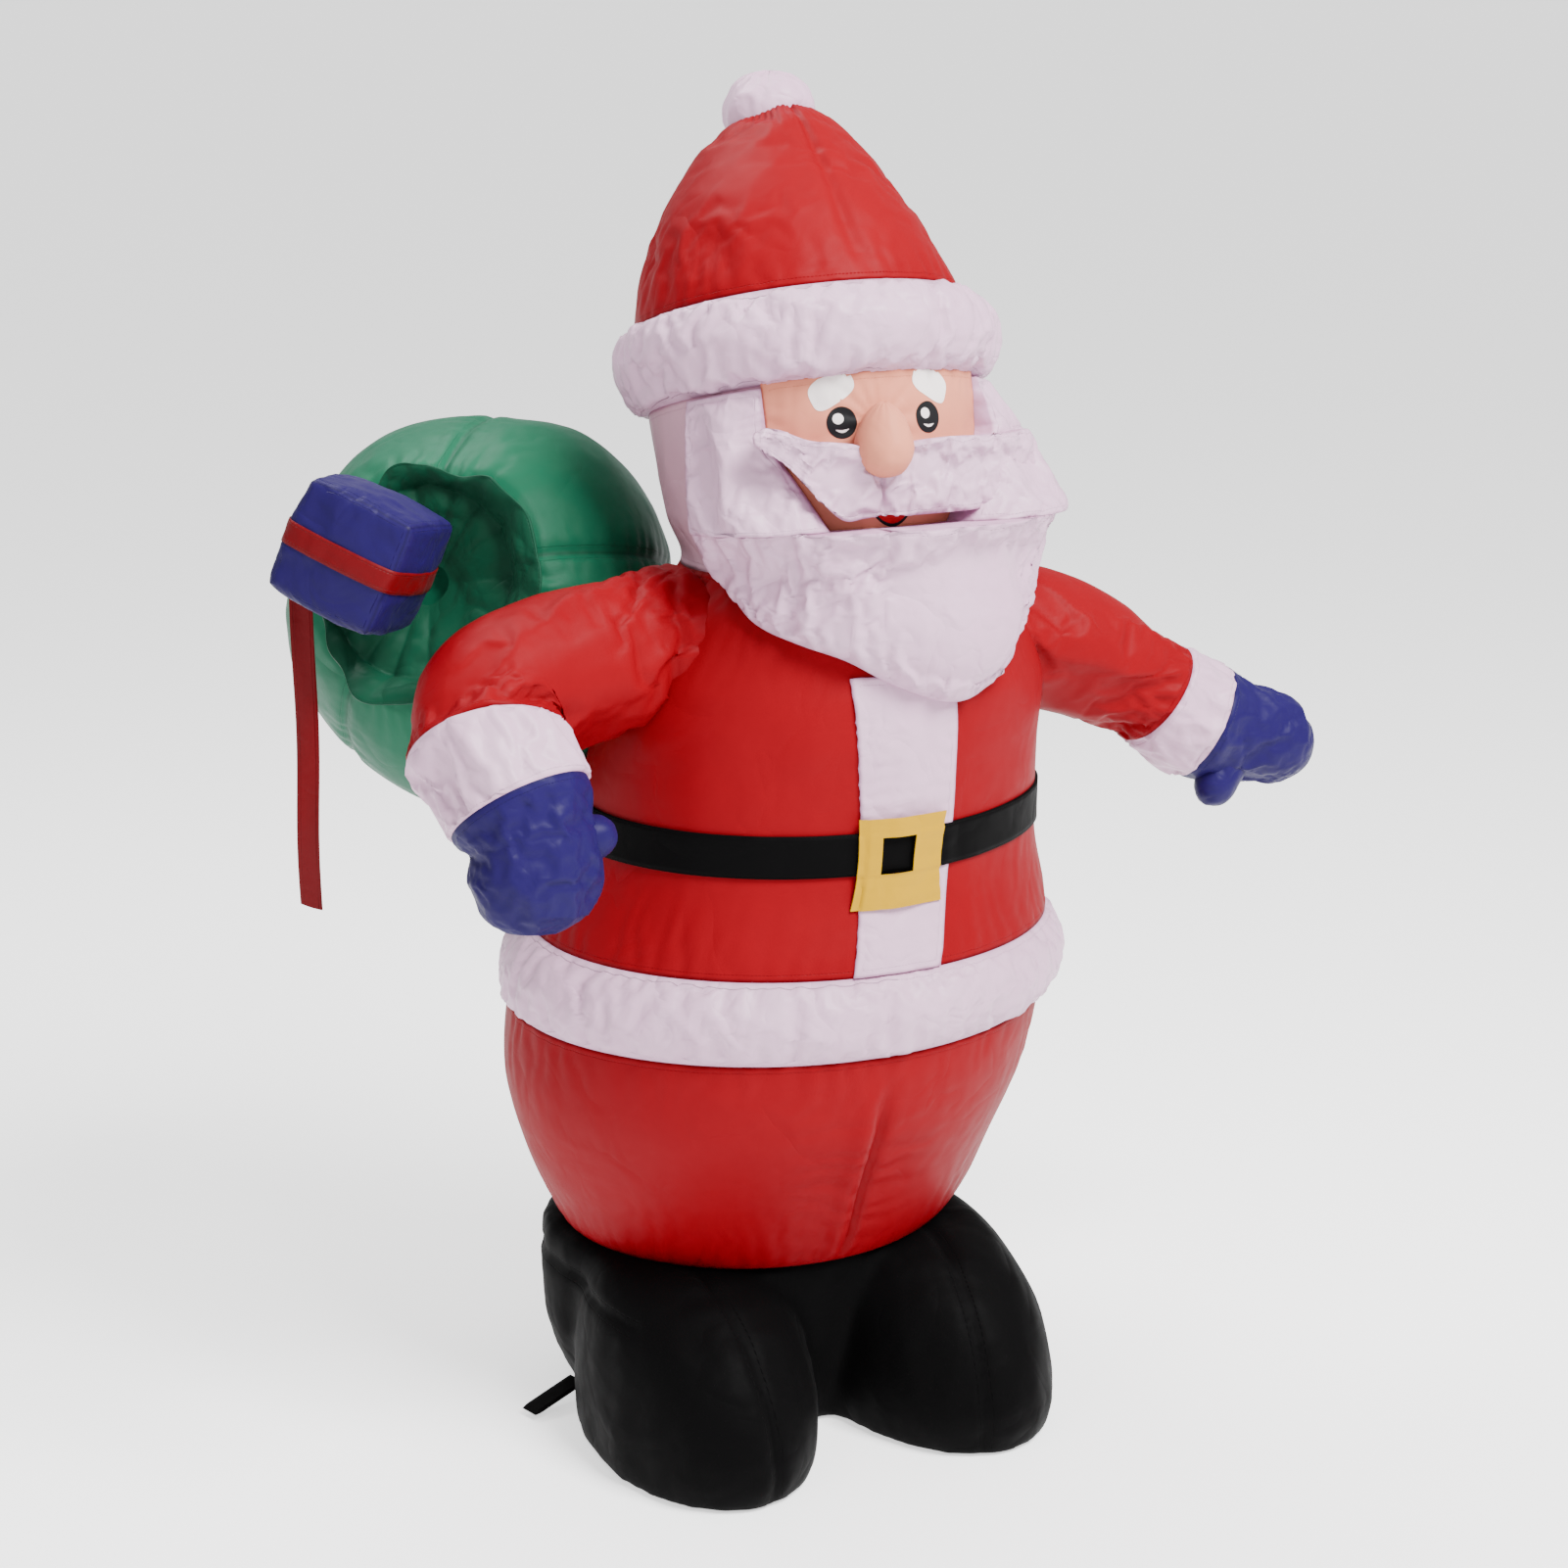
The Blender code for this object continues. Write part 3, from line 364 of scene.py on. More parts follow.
def nylon():
    """Shared cloth effects: colour patches, seam shade, stitches, weave and creases."""
    group = bpy.data.node_groups.get("nylon")
    if group:
        return group
    group = bpy.data.node_groups.new("nylon", "ShaderNodeTree")
    for name, kind in (("Colour", "NodeSocketColor"), ("Deep", "NodeSocketColor"),
                       ("Spread", "NodeSocketFloat"), ("Crease Depth", "NodeSocketFloat"),
                       ("Crease Scale", "NodeSocketFloat"), ("Rough", "NodeSocketFloat")):
        group.interface.new_socket(name, in_out="INPUT", socket_type=kind)
    for name, kind in (("Colour", "NodeSocketColor"), ("Roughness", "NodeSocketFloat"),
                       ("Height", "NodeSocketFloat")):
        group.interface.new_socket(name, in_out="OUTPUT", socket_type=kind)
    new, link = group.nodes.new, group.links.new
    given, out = new("NodeGroupInput"), new("NodeGroupOutput")
    spot = new("ShaderNodeTexCoord").outputs["Object"]
    uv = new("ShaderNodeUVMap")
    uv.uv_map = "cloth"

    def math(kind, a, b=None, c=None, clamp=False):
        node = new("ShaderNodeMath")
        node.operation = kind
        node.use_clamp = clamp
        for entry, value in zip(node.inputs, (a, b, c)):
            if value is None:
                continue
            if isinstance(value, (int, float)):
                entry.default_value = value
            else:
                link(value, entry)
        return node.outputs[0]

    def noise(where, scale, detail=2.0, rough=0.5, distortion=0.0):
        node = new("ShaderNodeTexNoise")
        link(where, node.inputs["Vector"])
        if isinstance(scale, (int, float)):
            node.inputs["Scale"].default_value = scale
        else:
            link(scale, node.inputs["Scale"])
        node.inputs["Detail"].default_value = detail
        node.inputs["Roughness"].default_value = rough
        node.inputs["Distortion"].default_value = distortion
        return node.outputs["Fac"]

    scale = given.outputs["Crease Scale"]
    broad = noise(spot, 7.0, 3.0)
    small = noise(spot, 60.0, 4.0, 0.6)
    patch = math("MULTIPLY", math("ADD", math("MULTIPLY", broad, 1.3),
                                  math("MULTIPLY", small, 0.5)), 0.9)
    patch = math("SUBTRACT", patch, 0.45, clamp=True)
    seam = new("ShaderNodeAttribute")
    seam.attribute_name = "seam"
    away = seam.outputs["Fac"]
    # Painted shade: within SEAM_SHADE of a seam the colour darkens towards the deeper colour
    shade = math("SUBTRACT", 1.0, math("DIVIDE", away, SEAM_SHADE), clamp=True)
    shade = math("MULTIPLY", math("POWER", shade, 1.6), 0.75)
    split = new("ShaderNodeSeparateXYZ")
    link(uv.outputs["UV"], split.inputs[0])
    off_row = math("ABSOLUTE", math("SUBTRACT", away, STITCHES_AWAY))
    row = math("SUBTRACT", 1.0, math("MULTIPLY", off_row, 1600.0), clamp=True)
    along = math("SINE", math("MULTIPLY", split.outputs["X"], STITCH_TURNS))
    dash = math("GREATER_THAN", along, -0.35)
    stitch = math("MULTIPLY", row, dash)
    dark = math("MAXIMUM", math("MULTIPLY", patch, given.outputs["Spread"]), shade)
    dark = math("MAXIMUM", dark, math("MULTIPLY", stitch, 0.35))
    mix = new("ShaderNodeMix")
    mix.data_type = "RGBA"
    link(dark, mix.inputs["Factor"])
    link(given.outputs["Colour"], mix.inputs["A"])
    link(given.outputs["Deep"], mix.inputs["B"])
    link(mix.outputs["Result"], out.inputs["Colour"])
    ridge = math("ABSOLUTE", math("SUBTRACT", noise(spot, scale, 1.5, 0.5, 0.9), 0.5))
    ridge = math("MINIMUM", math("MULTIPLY", ridge, LINE_SHARPNESS), 1.0)
    fine = math("ABSOLUTE", math("SUBTRACT", noise(spot, math("MULTIPLY", scale, 2.3),
                                                   1.0, 0.5, 0.6), 0.5))
    fine = math("MINIMUM", math("MULTIPLY", fine, LINE_SHARPNESS), 1.0)
    where = noise(spot, 9.0, 2.0)
    where = math("MULTIPLY", math("SUBTRACT", where, 0.38, clamp=True), 4.0, clamp=True)
    creases = math("ADD", ridge, math("MULTIPLY", math("MULTIPLY", fine, where), 0.45))
    height = math("MULTIPLY", creases, given.outputs["Crease Depth"])
    threads = math("ADD", math("SINE", math("MULTIPLY", split.outputs["X"], THREAD_TURNS)),
                   math("SINE", math("MULTIPLY", split.outputs["Y"], THREAD_TURNS)))
    height = math("ADD", height, math("MULTIPLY", threads, THREAD_HEIGHT))
    height = math("SUBTRACT", height, math("MULTIPLY", stitch, STITCH_DEPTH))
    link(height, out.inputs["Height"])
    rough = math("ADD", given.outputs["Rough"],
                 math("MULTIPLY", math("SUBTRACT", small, 0.5), 0.16))
    link(rough, out.inputs["Roughness"])
    return group


def material(look):
    """The cloth of one colour."""
    cloth = bpy.data.materials.get("cloth_" + look)
    if cloth:
        return cloth
    depth, size, rough, sheen, spread = CLOTHS[look]
    cloth = bpy.data.materials.new("cloth_" + look)
    cloth.use_nodes = True
    graph = cloth.node_tree
    shader = graph.nodes["Principled BSDF"]
    effects = graph.nodes.new("ShaderNodeGroup")
    effects.node_tree = nylon()
    colour = getattr(props(), look)
    effects.inputs["Colour"].default_value = (*colour, 1.0)
    effects.inputs["Deep"].default_value = (*seam_shade_and_patch_colour(look, colour), 1.0)
    effects.inputs["Spread"].default_value = spread
    effects.inputs["Crease Depth"].default_value = depth * props().creases
    effects.inputs["Crease Scale"].default_value = 1.0 / size
    effects.inputs["Rough"].default_value = rough
    bump = graph.nodes.new("ShaderNodeBump")
    bump.inputs["Strength"].default_value = 1.0
    bump.inputs["Distance"].default_value = 1.0
    graph.links.new(effects.outputs["Colour"], shader.inputs["Base Color"])
    graph.links.new(effects.outputs["Roughness"], shader.inputs["Roughness"])
    graph.links.new(effects.outputs["Height"], bump.inputs["Height"])
    graph.links.new(bump.outputs["Normal"], shader.inputs["Normal"])
    shader.inputs["Sheen Weight"].default_value = sheen
    shader.inputs["Sheen Roughness"].default_value = SHEEN_ROUGHNESS
    shader.inputs["Specular IOR Level"].default_value = SHINE.get(look, PLAIN_SHINE)
    return cloth


def seam_shade_and_patch_colour(look, colour):
    """The colour painted as shade at the seams, also the darker tone of the random colour patches."""
    # The whites' deeper colour is pinker: painted shade with a pink cast of red light from inside
    if look in ("white", "hood_in_painted_shade"):
        return (colour[0] * 0.72, colour[1] * 0.55, colour[2] * 0.66)
    if look == "skin":
        return (colour[0] * 0.85, colour[1] * 0.62, colour[2] * 0.55)
    return tuple(value * 0.45 for value in colour)


# Sizes and colours
def tint(name, about, value):
    """A colour that can be set in the panel."""
    return FloatVectorProperty(name=name, description=about, subtype="COLOR", size=3,
                               min=0.0, max=1.0, default=value)


class SantaLooks(bpy.types.PropertyGroup):
    """Colours and sizes of the figure's cloth."""
    red: tint("Red", "Jacket, trousers, sleeves and hat", (0.185, 0.0001, 0.0040))
    # Partly painted light: the white trim's pink cast stands in for red light shining through from
    # inside
    white: tint("White", "Trim and beard", (0.55, 0.36, 0.48))
    # Painted shade: the hood's white cloth, darkened and tinted pink as by red light inside the figure
    hood_in_painted_shade: tint("Hood", "Back and sides of the head", (0.46, 0.27, 0.33))
    skin: tint("Skin", "Face panel and nose", (0.55, 0.20, 0.125))
    black: tint("Black", "Boots, belt and tether", (0.0014, 0.0013, 0.0014))
    blue: tint("Blue", "Mittens and gift", (0.0095, 0.0042, 0.058))
    green: tint("Green", "Sack", (0.004, 0.088, 0.043))
    # Painted shade: the sack's own green, darkened where the mouth's folds and hollow lie in shade
    dark_green: tint("Dark green", "Mouth of the sack", (0.002, 0.045, 0.022))
    yellow: tint("Yellow", "Buckle", (0.42, 0.23, 0.0))
    ribbon: tint("Ribbon", "Ribbons on the sack and gift", (0.10, 0.0004, 0.0022))
    print_white: tint("Printed white", "Brows and eye lights", (0.74, 0.68, 0.66))
    print_black: tint("Printed black", "Eyes", (0.008, 0.008, 0.009))
    print_red: tint("Printed red", "Mouth", (0.42, 0.004, 0.010))
    creases: FloatProperty(name="Creases", description="Strength of the fine creases",
                           default=1.0, min=0.0, max=3.0)
    gather_depth: FloatProperty(name="Gather depth", description="Depth of puckers at seams",
                                default=0.0040, min=0.0, max=0.02, unit="LENGTH")
    simulate: BoolProperty(name="Simulate cloth", description="Let the air swell the cloth",
                           default=True)


def props():
    """The colours and sizes that the panel shows."""
    return bpy.context.scene.santa_looks


def angles(count):
    """Even angles round a circle, in radians."""
    return np.arange(count) * 2 * pi / count


# Trunk
def ring_panel(low, high, rows, count=320):
    """Heights, angles and plain points of a slice round the figure."""
    heights = np.linspace(low, high, rows)[:, None]
    turn = angles(count)[None, :]
    return heights, turn, figure(heights, turn)


TUCK = 0.04


def tuck(grid):
    """Turn the skin's first and last rows in, as a seam allowance."""
    middle_low, middle_high = grid[0].mean(0), grid[-1].mean(0)
    low = grid[0] + (middle_low - grid[0]) * TUCK
    high = grid[-1] + (middle_high - grid[-1]) * TUCK
    return np.concatenate([low[None], grid, high[None]], 0)


def edge_rows(values):
    """Extend a distance-from-seam grid over the tucked rows."""
    return np.pad(values, ((1, 1), (0, 0)))


def casing(name, low, high, rows, look, node, puff, folds, reach, depth, wrinkle, seed,
           extra=None, sim=None, count=320):
    """One sewn panel round the figure, puffed and gathered at both seams."""
    heights, turn, plain = ring_panel(low, high, rows, count)
    share = (heights - low) / (high - low)
    grid = figure(heights, turn, puff * swell(share))
    run = lengths(grid, 0)
    below, above = run, run[-1:] - run
    if sim:
        grid = inflate(grid, True, seed=seed, **sim)
    way = normals(grid, True)
    phase = turn * folds / (2 * pi)
    off = gathers(phase, plain, below, reach, depth, seed)
    off = off + gathers(phase + 0.5, plain, above, reach, depth, seed + 10)
    near = np.minimum(below, above)
    fade = 1 - np.exp(-near / 0.015)
    off = off + crumple(plain, *wrinkle, seed=seed + 20) * fade
    if extra is not None:
        off = off + extra(heights, turn, plain) * fade
    grid = grid + way * off[..., None]
    return build(name, tuck(grid), True, look, node, edge_rows(near))


LEG_SEAM_TURN = radians(2.0)
LEG_SEAM_RADIUS = 0.22
LEG_SEAM_TOP = 0.31 * H


class SANTA_OT_trunk(bpy.types.Operator):
    """Trousers, hem band and jacket"""
    bl_idname = "santa.trunk"
    bl_label = "Trunk"

    def execute(self, context):
        depth = props().gather_depth

        def centre_seam(heights, turn, plain):
            """A sharp fold between the legs with a fuller one beside it and short creases."""
            side = (turn - LEG_SEAM_TURN + pi) % (2 * pi) - pi
            side = side * LEG_SEAM_RADIUS
            mask = np.clip((LEG_SEAM_TOP - heights) / 0.05, 0, 1)
            fold = -0.008 * np.exp(-(side / 0.0045)**2) + 0.006 * np.exp(-((side + 0.014) / 0.010)**2)
            short = gathers(heights / 0.020 + 0 * side, plain, np.abs(side), 0.050, 0.0048, 17)
            return (fold + short) * mask

        trousers = casing("trousers_cloth", TROUSERS_FOOT, HEM_BOTTOM, 60, "red", "trousers",
                          0.0, 64, 0.050, depth, (0.16, 0.0022), 11, centre_seam)
        hem = casing("hem_band_cloth", HEM_BOTTOM, HEM_TOP, 26, "white", "hem_band",
                     0.010 * H, 84, 0.026, depth * 0.8, (0.06, 0.0015), 12,
                     sim=dict(growth=0.06, pressure=3.0, cap=0.016))
        jacket = casing("jacket_cloth", HEM_TOP, NECK, 84, "red", "jacket",
                        0.0, 60, 0.045, depth, (0.14, 0.0022), 13)
        return {"FINISHED"}


# Strips
FRONT_RADIUS = 0.172 * H
PLACKET_WIDTH = 0.092
PLACKET_FOOT = 0.77
PLACKET_HEAD = 1.10
PLACKET_SWAY = (0.010, 0.163, -0.218)
BELT_WIDTH = 0.036
BUCKLE_WIDTH = 0.080
BUCKLE_HEIGHT = 0.078
BUCKLE_HOLE = 0.030
BUCKLE_DROP = 0.0080
BUCKLE_HOLE_SHIFT = (-0.0040, 0.0070)
BUCKLE_THICK = 0.0012
PLACKET_LIFT = 0.0028
PLACKET_SINK = 0.003
BELT_LIFT = 0.0028
BELT_SINK = 0.004
DRAPE_CENTRE = (0.02, -0.03, 0.0)
DRAPE_START = 0.08
DRAPE_REACH = 0.4


def drape(grid, targets, lift):
    """Lay a grid that floats before the figure on the cloth behind it."""
    out = grid.copy()
    flat = out.reshape(-1, 3)
    inward = np.array(DRAPE_CENTRE) - flat
    inward[:, 2] = 0.0
    inward = one_long(inward)
    for k, spot in enumerate(flat):
        start = Vector(spot) - Vector(inward[k]) * DRAPE_START
        best = None
        for target in targets:
            hit = target.ray_cast(start, Vector(inward[k]), DRAPE_REACH)
            if hit[0] is not None and (best is None or hit[3] < best[1]):
                best = (hit[0], hit[3])
        if best:
            flat[k] = np.array(best[0]) - inward[k] * lift
    return out


def even(grid, times=2):
    """Take small bumps out of a draped strip."""
    for _ in range(times):
        inner = (grid[:-2] + grid[2:] + 2 * grid[1:-1]) / 4
        grid = np.concatenate([grid[:1], inner, grid[-1:]], 0)
    return grid


def rimmed(grid, lower):
    """Add an edge row all round, going down to a lower grid."""
    out = np.pad(lower, ((1, 1), (1, 1), (0, 0)), mode="edge")
    out[1:-1, 1:-1] = grid
    return out


def edges_away(grid):
    """Distance of each point from the grid's nearest edge."""
    return np.minimum(off_ends(grid, 0), off_ends(grid, 1))


def strip(name, grid, sink, look, node):
    """A flat cloth strip with turned-down edges."""
    way = normals(grid, False)
    if (way[..., 1] * -1).mean() < 0:
        way = -way
    near = np.pad(edges_away(grid), 1)
    return build(name, rimmed(grid, grid - way * sink), False, look, node, near)


class SANTA_OT_strips(bpy.types.Operator):
    """Placket, belt and buckle"""
    bl_idname = "santa.strips"
    bl_label = "Strips"

    def execute(self, context):
        jacket = surface(bpy.data.objects["jacket_cloth"])
        heights = np.linspace(HEM_TOP + 0.001, PLACKET_TOP, 90)[:, None]
        share = (heights - HEM_TOP) / (PLACKET_TOP - HEM_TOP)
        half = PLACKET_WIDTH / 2 / FRONT_RADIUS * (PLACKET_FOOT + (PLACKET_HEAD - PLACKET_FOOT) * share)
        middle = PLACKET_SWAY[0] + PLACKET_SWAY[1] * share + PLACKET_SWAY[2] * share**2
        turn = middle + half * np.linspace(-1, 1, 26)[None, :]
        grid = figure(heights, turn, 0.0)
        grid = even(drape(grid, [jacket], PLACKET_LIFT))
        near = edges_away(grid)
        down = lengths(grid, 0)
        sides = off_ends(grid, 1)
        off = gathers(down / 0.014, grid, sides, 0.026, 0.0036, 31)
        off = off + crumple(grid, 0.05, 0.0024, 32) * (1 - np.exp(-near / 0.01))
        off = np.maximum(off, -0.0010)
        grid = grid + np.array([0, -1, 0]) * off[..., None]
        strip("placket_cloth", grid, PLACKET_SINK, "white", "placket")
        placket = surface(bpy.data.objects["placket_cloth"])

        heights = np.linspace(BELT_MIDDLE - BELT_WIDTH / 2, BELT_MIDDLE + BELT_WIDTH / 2, 9)[:, None]
        turn = np.linspace(0, 2 * pi, 301)[None, :]
        grid = figure(heights, turn, 0.0)
        grid = drape(grid, [jacket, placket], BELT_LIFT)
        grid = np.moveaxis(even(np.moveaxis(grid, 1, 0)[:-1], 3), 0, 1)
        way = normals(grid, True)
        low = grid[:1] - way[:1] * BELT_SINK
        high = grid[-1:] - way[-1:] * BELT_SINK
        near = off_ends(grid, 0) + SEAM_SHADE
        build("belt_cloth", np.concatenate([low, grid, high], 0), True, "black", "belt",
              np.pad(near, ((1, 1), (0, 0)), mode="edge"))
        buckle()
        return {"FINISHED"}


def buckle():
    """A square cloth plate with a square hole, wavy at its edge."""
    belt = surface(bpy.data.objects["belt_cloth"])
    placket = surface(bpy.data.objects["placket_cloth"])
    count, hole = 40, 0.5 * BUCKLE_HOLE
    u = np.linspace(-0.5, 0.5, count)[None, :] * BUCKLE_WIDTH
    v = np.linspace(-0.5, 0.5, count)[:, None] * BUCKLE_HEIGHT
    u, v = np.broadcast_arrays(u, v)
    bulge = 0.003 * np.cos(pi * v / BUCKLE_HEIGHT) * np.sign(u) * np.clip(np.abs(u) / 0.04, 0, 1)
    grid = figure(BELT_MIDDLE - BUCKLE_DROP + v, (u - bulge) / FRONT_RADIUS, 0.0)
    grid = drape(grid, [belt, placket], 0.0)
    front = grid[..., 1].min(axis=0, keepdims=True)
    grid[..., 1] = 0.35 * grid[..., 1] + 0.65 * front - 0.0030
    grid[..., 1] -= 0.0022 * soft(np.stack([u / 0.03, v / 0.03, u * 0], -1), 41) + 0.0005
    shape = bmesh.new()
    layers = []
    for thick in (BUCKLE_THICK, 0.0):
        layers.append([[shape.verts.new(grid[i, j] + np.array([0, thick, 0])) for j in range(count)]
                       for i in range(count)])
    inside = (np.abs(u - BUCKLE_HOLE_SHIFT[0]) < hole) & (np.abs(v - BUCKLE_HOLE_SHIFT[1]) < hole)
    cell = inside[:-1, :-1] | inside[1:, 1:] | inside[1:, :-1] | inside[:-1, 1:]
    for i in range(count - 1):
        for j in range(count - 1):
            if not cell[i, j]:
                for layer, flip in ((layers[0], False), (layers[1], True)):
                    loop = [layer[i][j], layer[i][j + 1], layer[i + 1][j + 1], layer[i + 1][j]]
                    shape.faces.new(loop[::-1] if flip else loop)
    rim = [edge for edge in shape.edges if edge.is_boundary]
    where = {layers[0][i][j]: layers[1][i][j] for i in range(count) for j in range(count)}
    for edge in rim:
        a, b = edge.verts
        if a in where and b in where:
            shape.faces.new((a, b, where[b], where[a]))
    loose = [vert for vert in shape.verts if not vert.link_faces]
    bmesh.ops.delete(shape, geom=loose, context="VERTS")
    bmesh.ops.recalc_face_normals(shape, faces=shape.faces)
    mesh = bpy.data.meshes.new("buckle_cloth")
    shape.to_mesh(mesh)
    shape.free()
    mark_cloth(mesh, vertex_rows(mesh, "co")[:, [0, 2]], NO_SEAM)
    mesh.shade_smooth()
    mesh.set_sharp_from_angle(angle=radians(50))
    place("buckle_cloth", mesh, "yellow", "buckle")


# Arms
# Rows: step along the arm, then place across, in depth and up, half width and half depth
ARMS = {
    "right": np.array([
        (0, -0.095, -0.036, 0.612, 0.052, 0.056),
        (1, -0.195, -0.048, 0.606, 0.057, 0.056),
        (2, -0.258, -0.070, 0.590, 0.058, 0.054),
        (3, -0.273, -0.105, 0.563, 0.056, 0.053),
        (4, -0.262, -0.137, 0.528, 0.051, 0.048),
        (5, -0.257, -0.149, 0.505, 0.044, 0.040),
        (6, -0.258, -0.155, 0.480, 0.047, 0.036),
        (7, -0.261, -0.158, 0.458, 0.036, 0.028),
        (8, -0.262, -0.159, 0.446, 0.018, 0.014),
    ]),
    "left": np.array([
        (0, 0.110, -0.042, 0.600, 0.056, 0.058),
        (1, 0.180, -0.044, 0.597, 0.055, 0.056),
        (2, 0.240, -0.050, 0.575, 0.049, 0.050),
        (3, 0.292, -0.058, 0.536, 0.042, 0.044),
        (4, 0.330, -0.066, 0.512, 0.045, 0.044),
        (5, 0.356, -0.072, 0.503, 0.040, 0.036),
        (6, 0.385, -0.078, 0.495, 0.038, 0.030),
        (7, 0.405, -0.082, 0.492, 0.030, 0.024),
        (8, 0.418, -0.084, 0.492, 0.014, 0.012),
    ]),
}
# Each thumb's root, tip and radius
THUMBS = {
    "right": ((-0.232, -0.152, 0.504), (-0.199, -0.154, 0.507), 0.016),
    "left": ((0.345, -0.082, 0.484), (0.322, -0.088, 0.450), 0.017),
}


def rings_along(path, start, end, rows, count, puff=0.0):
    """Rings square to the curve through a path's rows."""
    t = np.linspace(start, end, rows)
    row = curve(path, t)
    ahead = one_long(curve(path, t + 0.02)[:, :3] - curve(path, t - 0.02)[:, :3])
    side = one_long(np.cross(ahead, (0, 1, 0)))
    front = np.cross(side, ahead)
    more = puff * swell((t - start) / (end - start))[:, None]
    turn = angles(count)[None, :]
    wide, thick = (row[:, 3:4] + more) * H, (row[:, 4:5] + more) * H
    grid = (row[:, None, :3] * H + side[:, None] * (wide * np.cos(turn))[..., None]
            + front[:, None] * (thick * np.sin(turn))[..., None])
    return grid, turn, row[:, :3] * H


def sleeve_part(name, path, start, end, rows, look, node, puff, folds, reach, depth, wrinkle,
                seed, close=False, open_start=False, count=110, sim=None):
    """One sewn panel round an arm, closed to a tip or open at its root."""
    grid, turn, middle = rings_along(path, start, end, rows, count, puff)
    if sim:
        grid = inflate(grid, True, seed=seed, **sim)
    way = normals(grid, True)
    if np.einsum("ijk,ijk->ij", way, grid - middle[:, None]).mean() < 0:
        way = -way
    run = lengths(grid, 0)
    below, above = run, run[-1:] - run
    phase = turn * folds / (2 * pi)
    off = crumple(grid, *wrinkle, seed=seed)
    if not open_start:
        off = off + gathers(phase, grid, below, reach, depth, seed + 1)
    if not close:
        off = off + gathers(phase + 0.4, grid, above, reach, depth, seed + 2)
    if open_start:
        near = above
    else:
        near = below if close else np.minimum(below, above)
    off = off * (1 - np.exp(-near / 0.006))
    grid = grid + way * off[..., None]
    ends = (None, grid[-1].mean(0)) if close else (None, None)
    thing = build(name, grid, True, look, node, near, ends)
    outward(thing)
    return thing


def thumb(side):
    """A mitten's thumb: a tube with a round end."""
    root, tip, radius = THUMBS[side]
    root, tip = np.array(root) * H, np.array(tip) * H
    ahead = one_long(tip - root)
    flank = one_long(np.cross(ahead, (0, 1, 0)))
    front = np.cross(flank, ahead)
    share = np.linspace(0, 1, 20)[:, None]
    thick = radius * H * np.sqrt(np.clip(1 - np.clip((share - 0.45) / 0.55, 0, 1)**2.2, 0.004, 1))
    turn = angles(40)[None, :]
    grid = (root + ahead * (share * np.linalg.norm(tip - root))[..., None]
            + flank * (thick * np.cos(turn))[..., None] + front * (thick * np.sin(turn))[..., None])
    grid = grid + normals(grid, True) * crumple(grid, 0.02, 0.0012, 52)[..., None]
    thing = build("thumb_" + side, grid, True, None, away=NO_SEAM, ends=(None, grid[-1].mean(0)))
    outward(thing)
    return thing


def join(main, other):
    """Add another mesh's faces to a piece."""
    shape = bmesh.new()
    shape.from_mesh(main.data)
    shape.from_mesh(other.data)
    shape.to_mesh(main.data)
    shape.free()
    bpy.data.objects.remove(other, do_unlink=True)
    main.data.shade_smooth()


class SANTA_OT_arms(bpy.types.Operator):
    """Sleeves, cuffs and mittens"""
    bl_idname = "santa.arms"
    bl_label = "Arms"

    def execute(self, context):
        depth = props().gather_depth
        for number, (side, path) in enumerate(ARMS.items()):
            seed = 60 + 10 * number
            sleeve = sleeve_part(side + "_sleeve_cloth", path, 0.0, 3.0, 64, "red",
                                 side + "_sleeve", 0.0, 22, 0.030, depth * 0.8, (0.075, 0.0014), seed,
                                 open_start=True, sim=dict(growth=0.045, pressure=1.5, cap=0.010))
            cuff = sleeve_part(side + "_cuff_cloth", path, 3.0, 4.0, 20, "white",
                               side + "_cuff", 0.002, 24, 0.022, depth * 0.7, (0.05, 0.0012),
                               seed + 3, sim=dict(growth=0.08, pressure=2.0, cap=0.012))
            mitten = sleeve_part(side + "_mitten_cloth", path, 4.0, 8.0, 44, "blue",
                                 side + "_mitten", 0.0, 20, 0.022, depth * 0.7, (0.055, 0.0009),
                                 seed + 6, close=True,
                                 sim=dict(growth=0.035, pressure=1.5, cap=0.006))
            join(mitten, thumb(side))
        return {"FINISHED"}


# Hat
class SANTA_OT_hat(bpy.types.Operator):
    """Hat brim, crown and pompom"""
    bl_idname = "santa.hat"
    bl_label = "Hat"

    def execute(self, context):
        depth = props().gather_depth
        brim = casing("hat_brim_cloth", BRIM_BOTTOM, BRIM_TOP, 30, "white", "hat_brim",
                      0.018 * H, 58, 0.030, depth * 0.9, (0.06, 0.0015), 81, count=260,
                      sim=dict(growth=0.08, pressure=3.0, cap=0.020))

        def crown_folds(heights, turn, plain):
            """The seam down the crown's front."""
            side = np.minimum(turn, 2 * pi - turn) * 0.1
            return -0.004 * np.exp(-(side / 0.006)**2)

        crown = casing("hat_crown_cloth", BRIM_TOP, CROWN_TIP, 60, "red", "hat_crown",
                       -0.004 * H, 40, 0.036, depth * 0.8, (0.10, 0.0009), 82, crown_folds, count=220,
                       sim=dict(growth=0.012, pressure=1.5, cap=0.005))
        pompom = ball("pompom_cloth", (0.004, 0.034, 0.979), (0.034, 0.034, 0.0295), "white",
                      "pompom", 83, 0.0025)
        return {"FINISHED"}


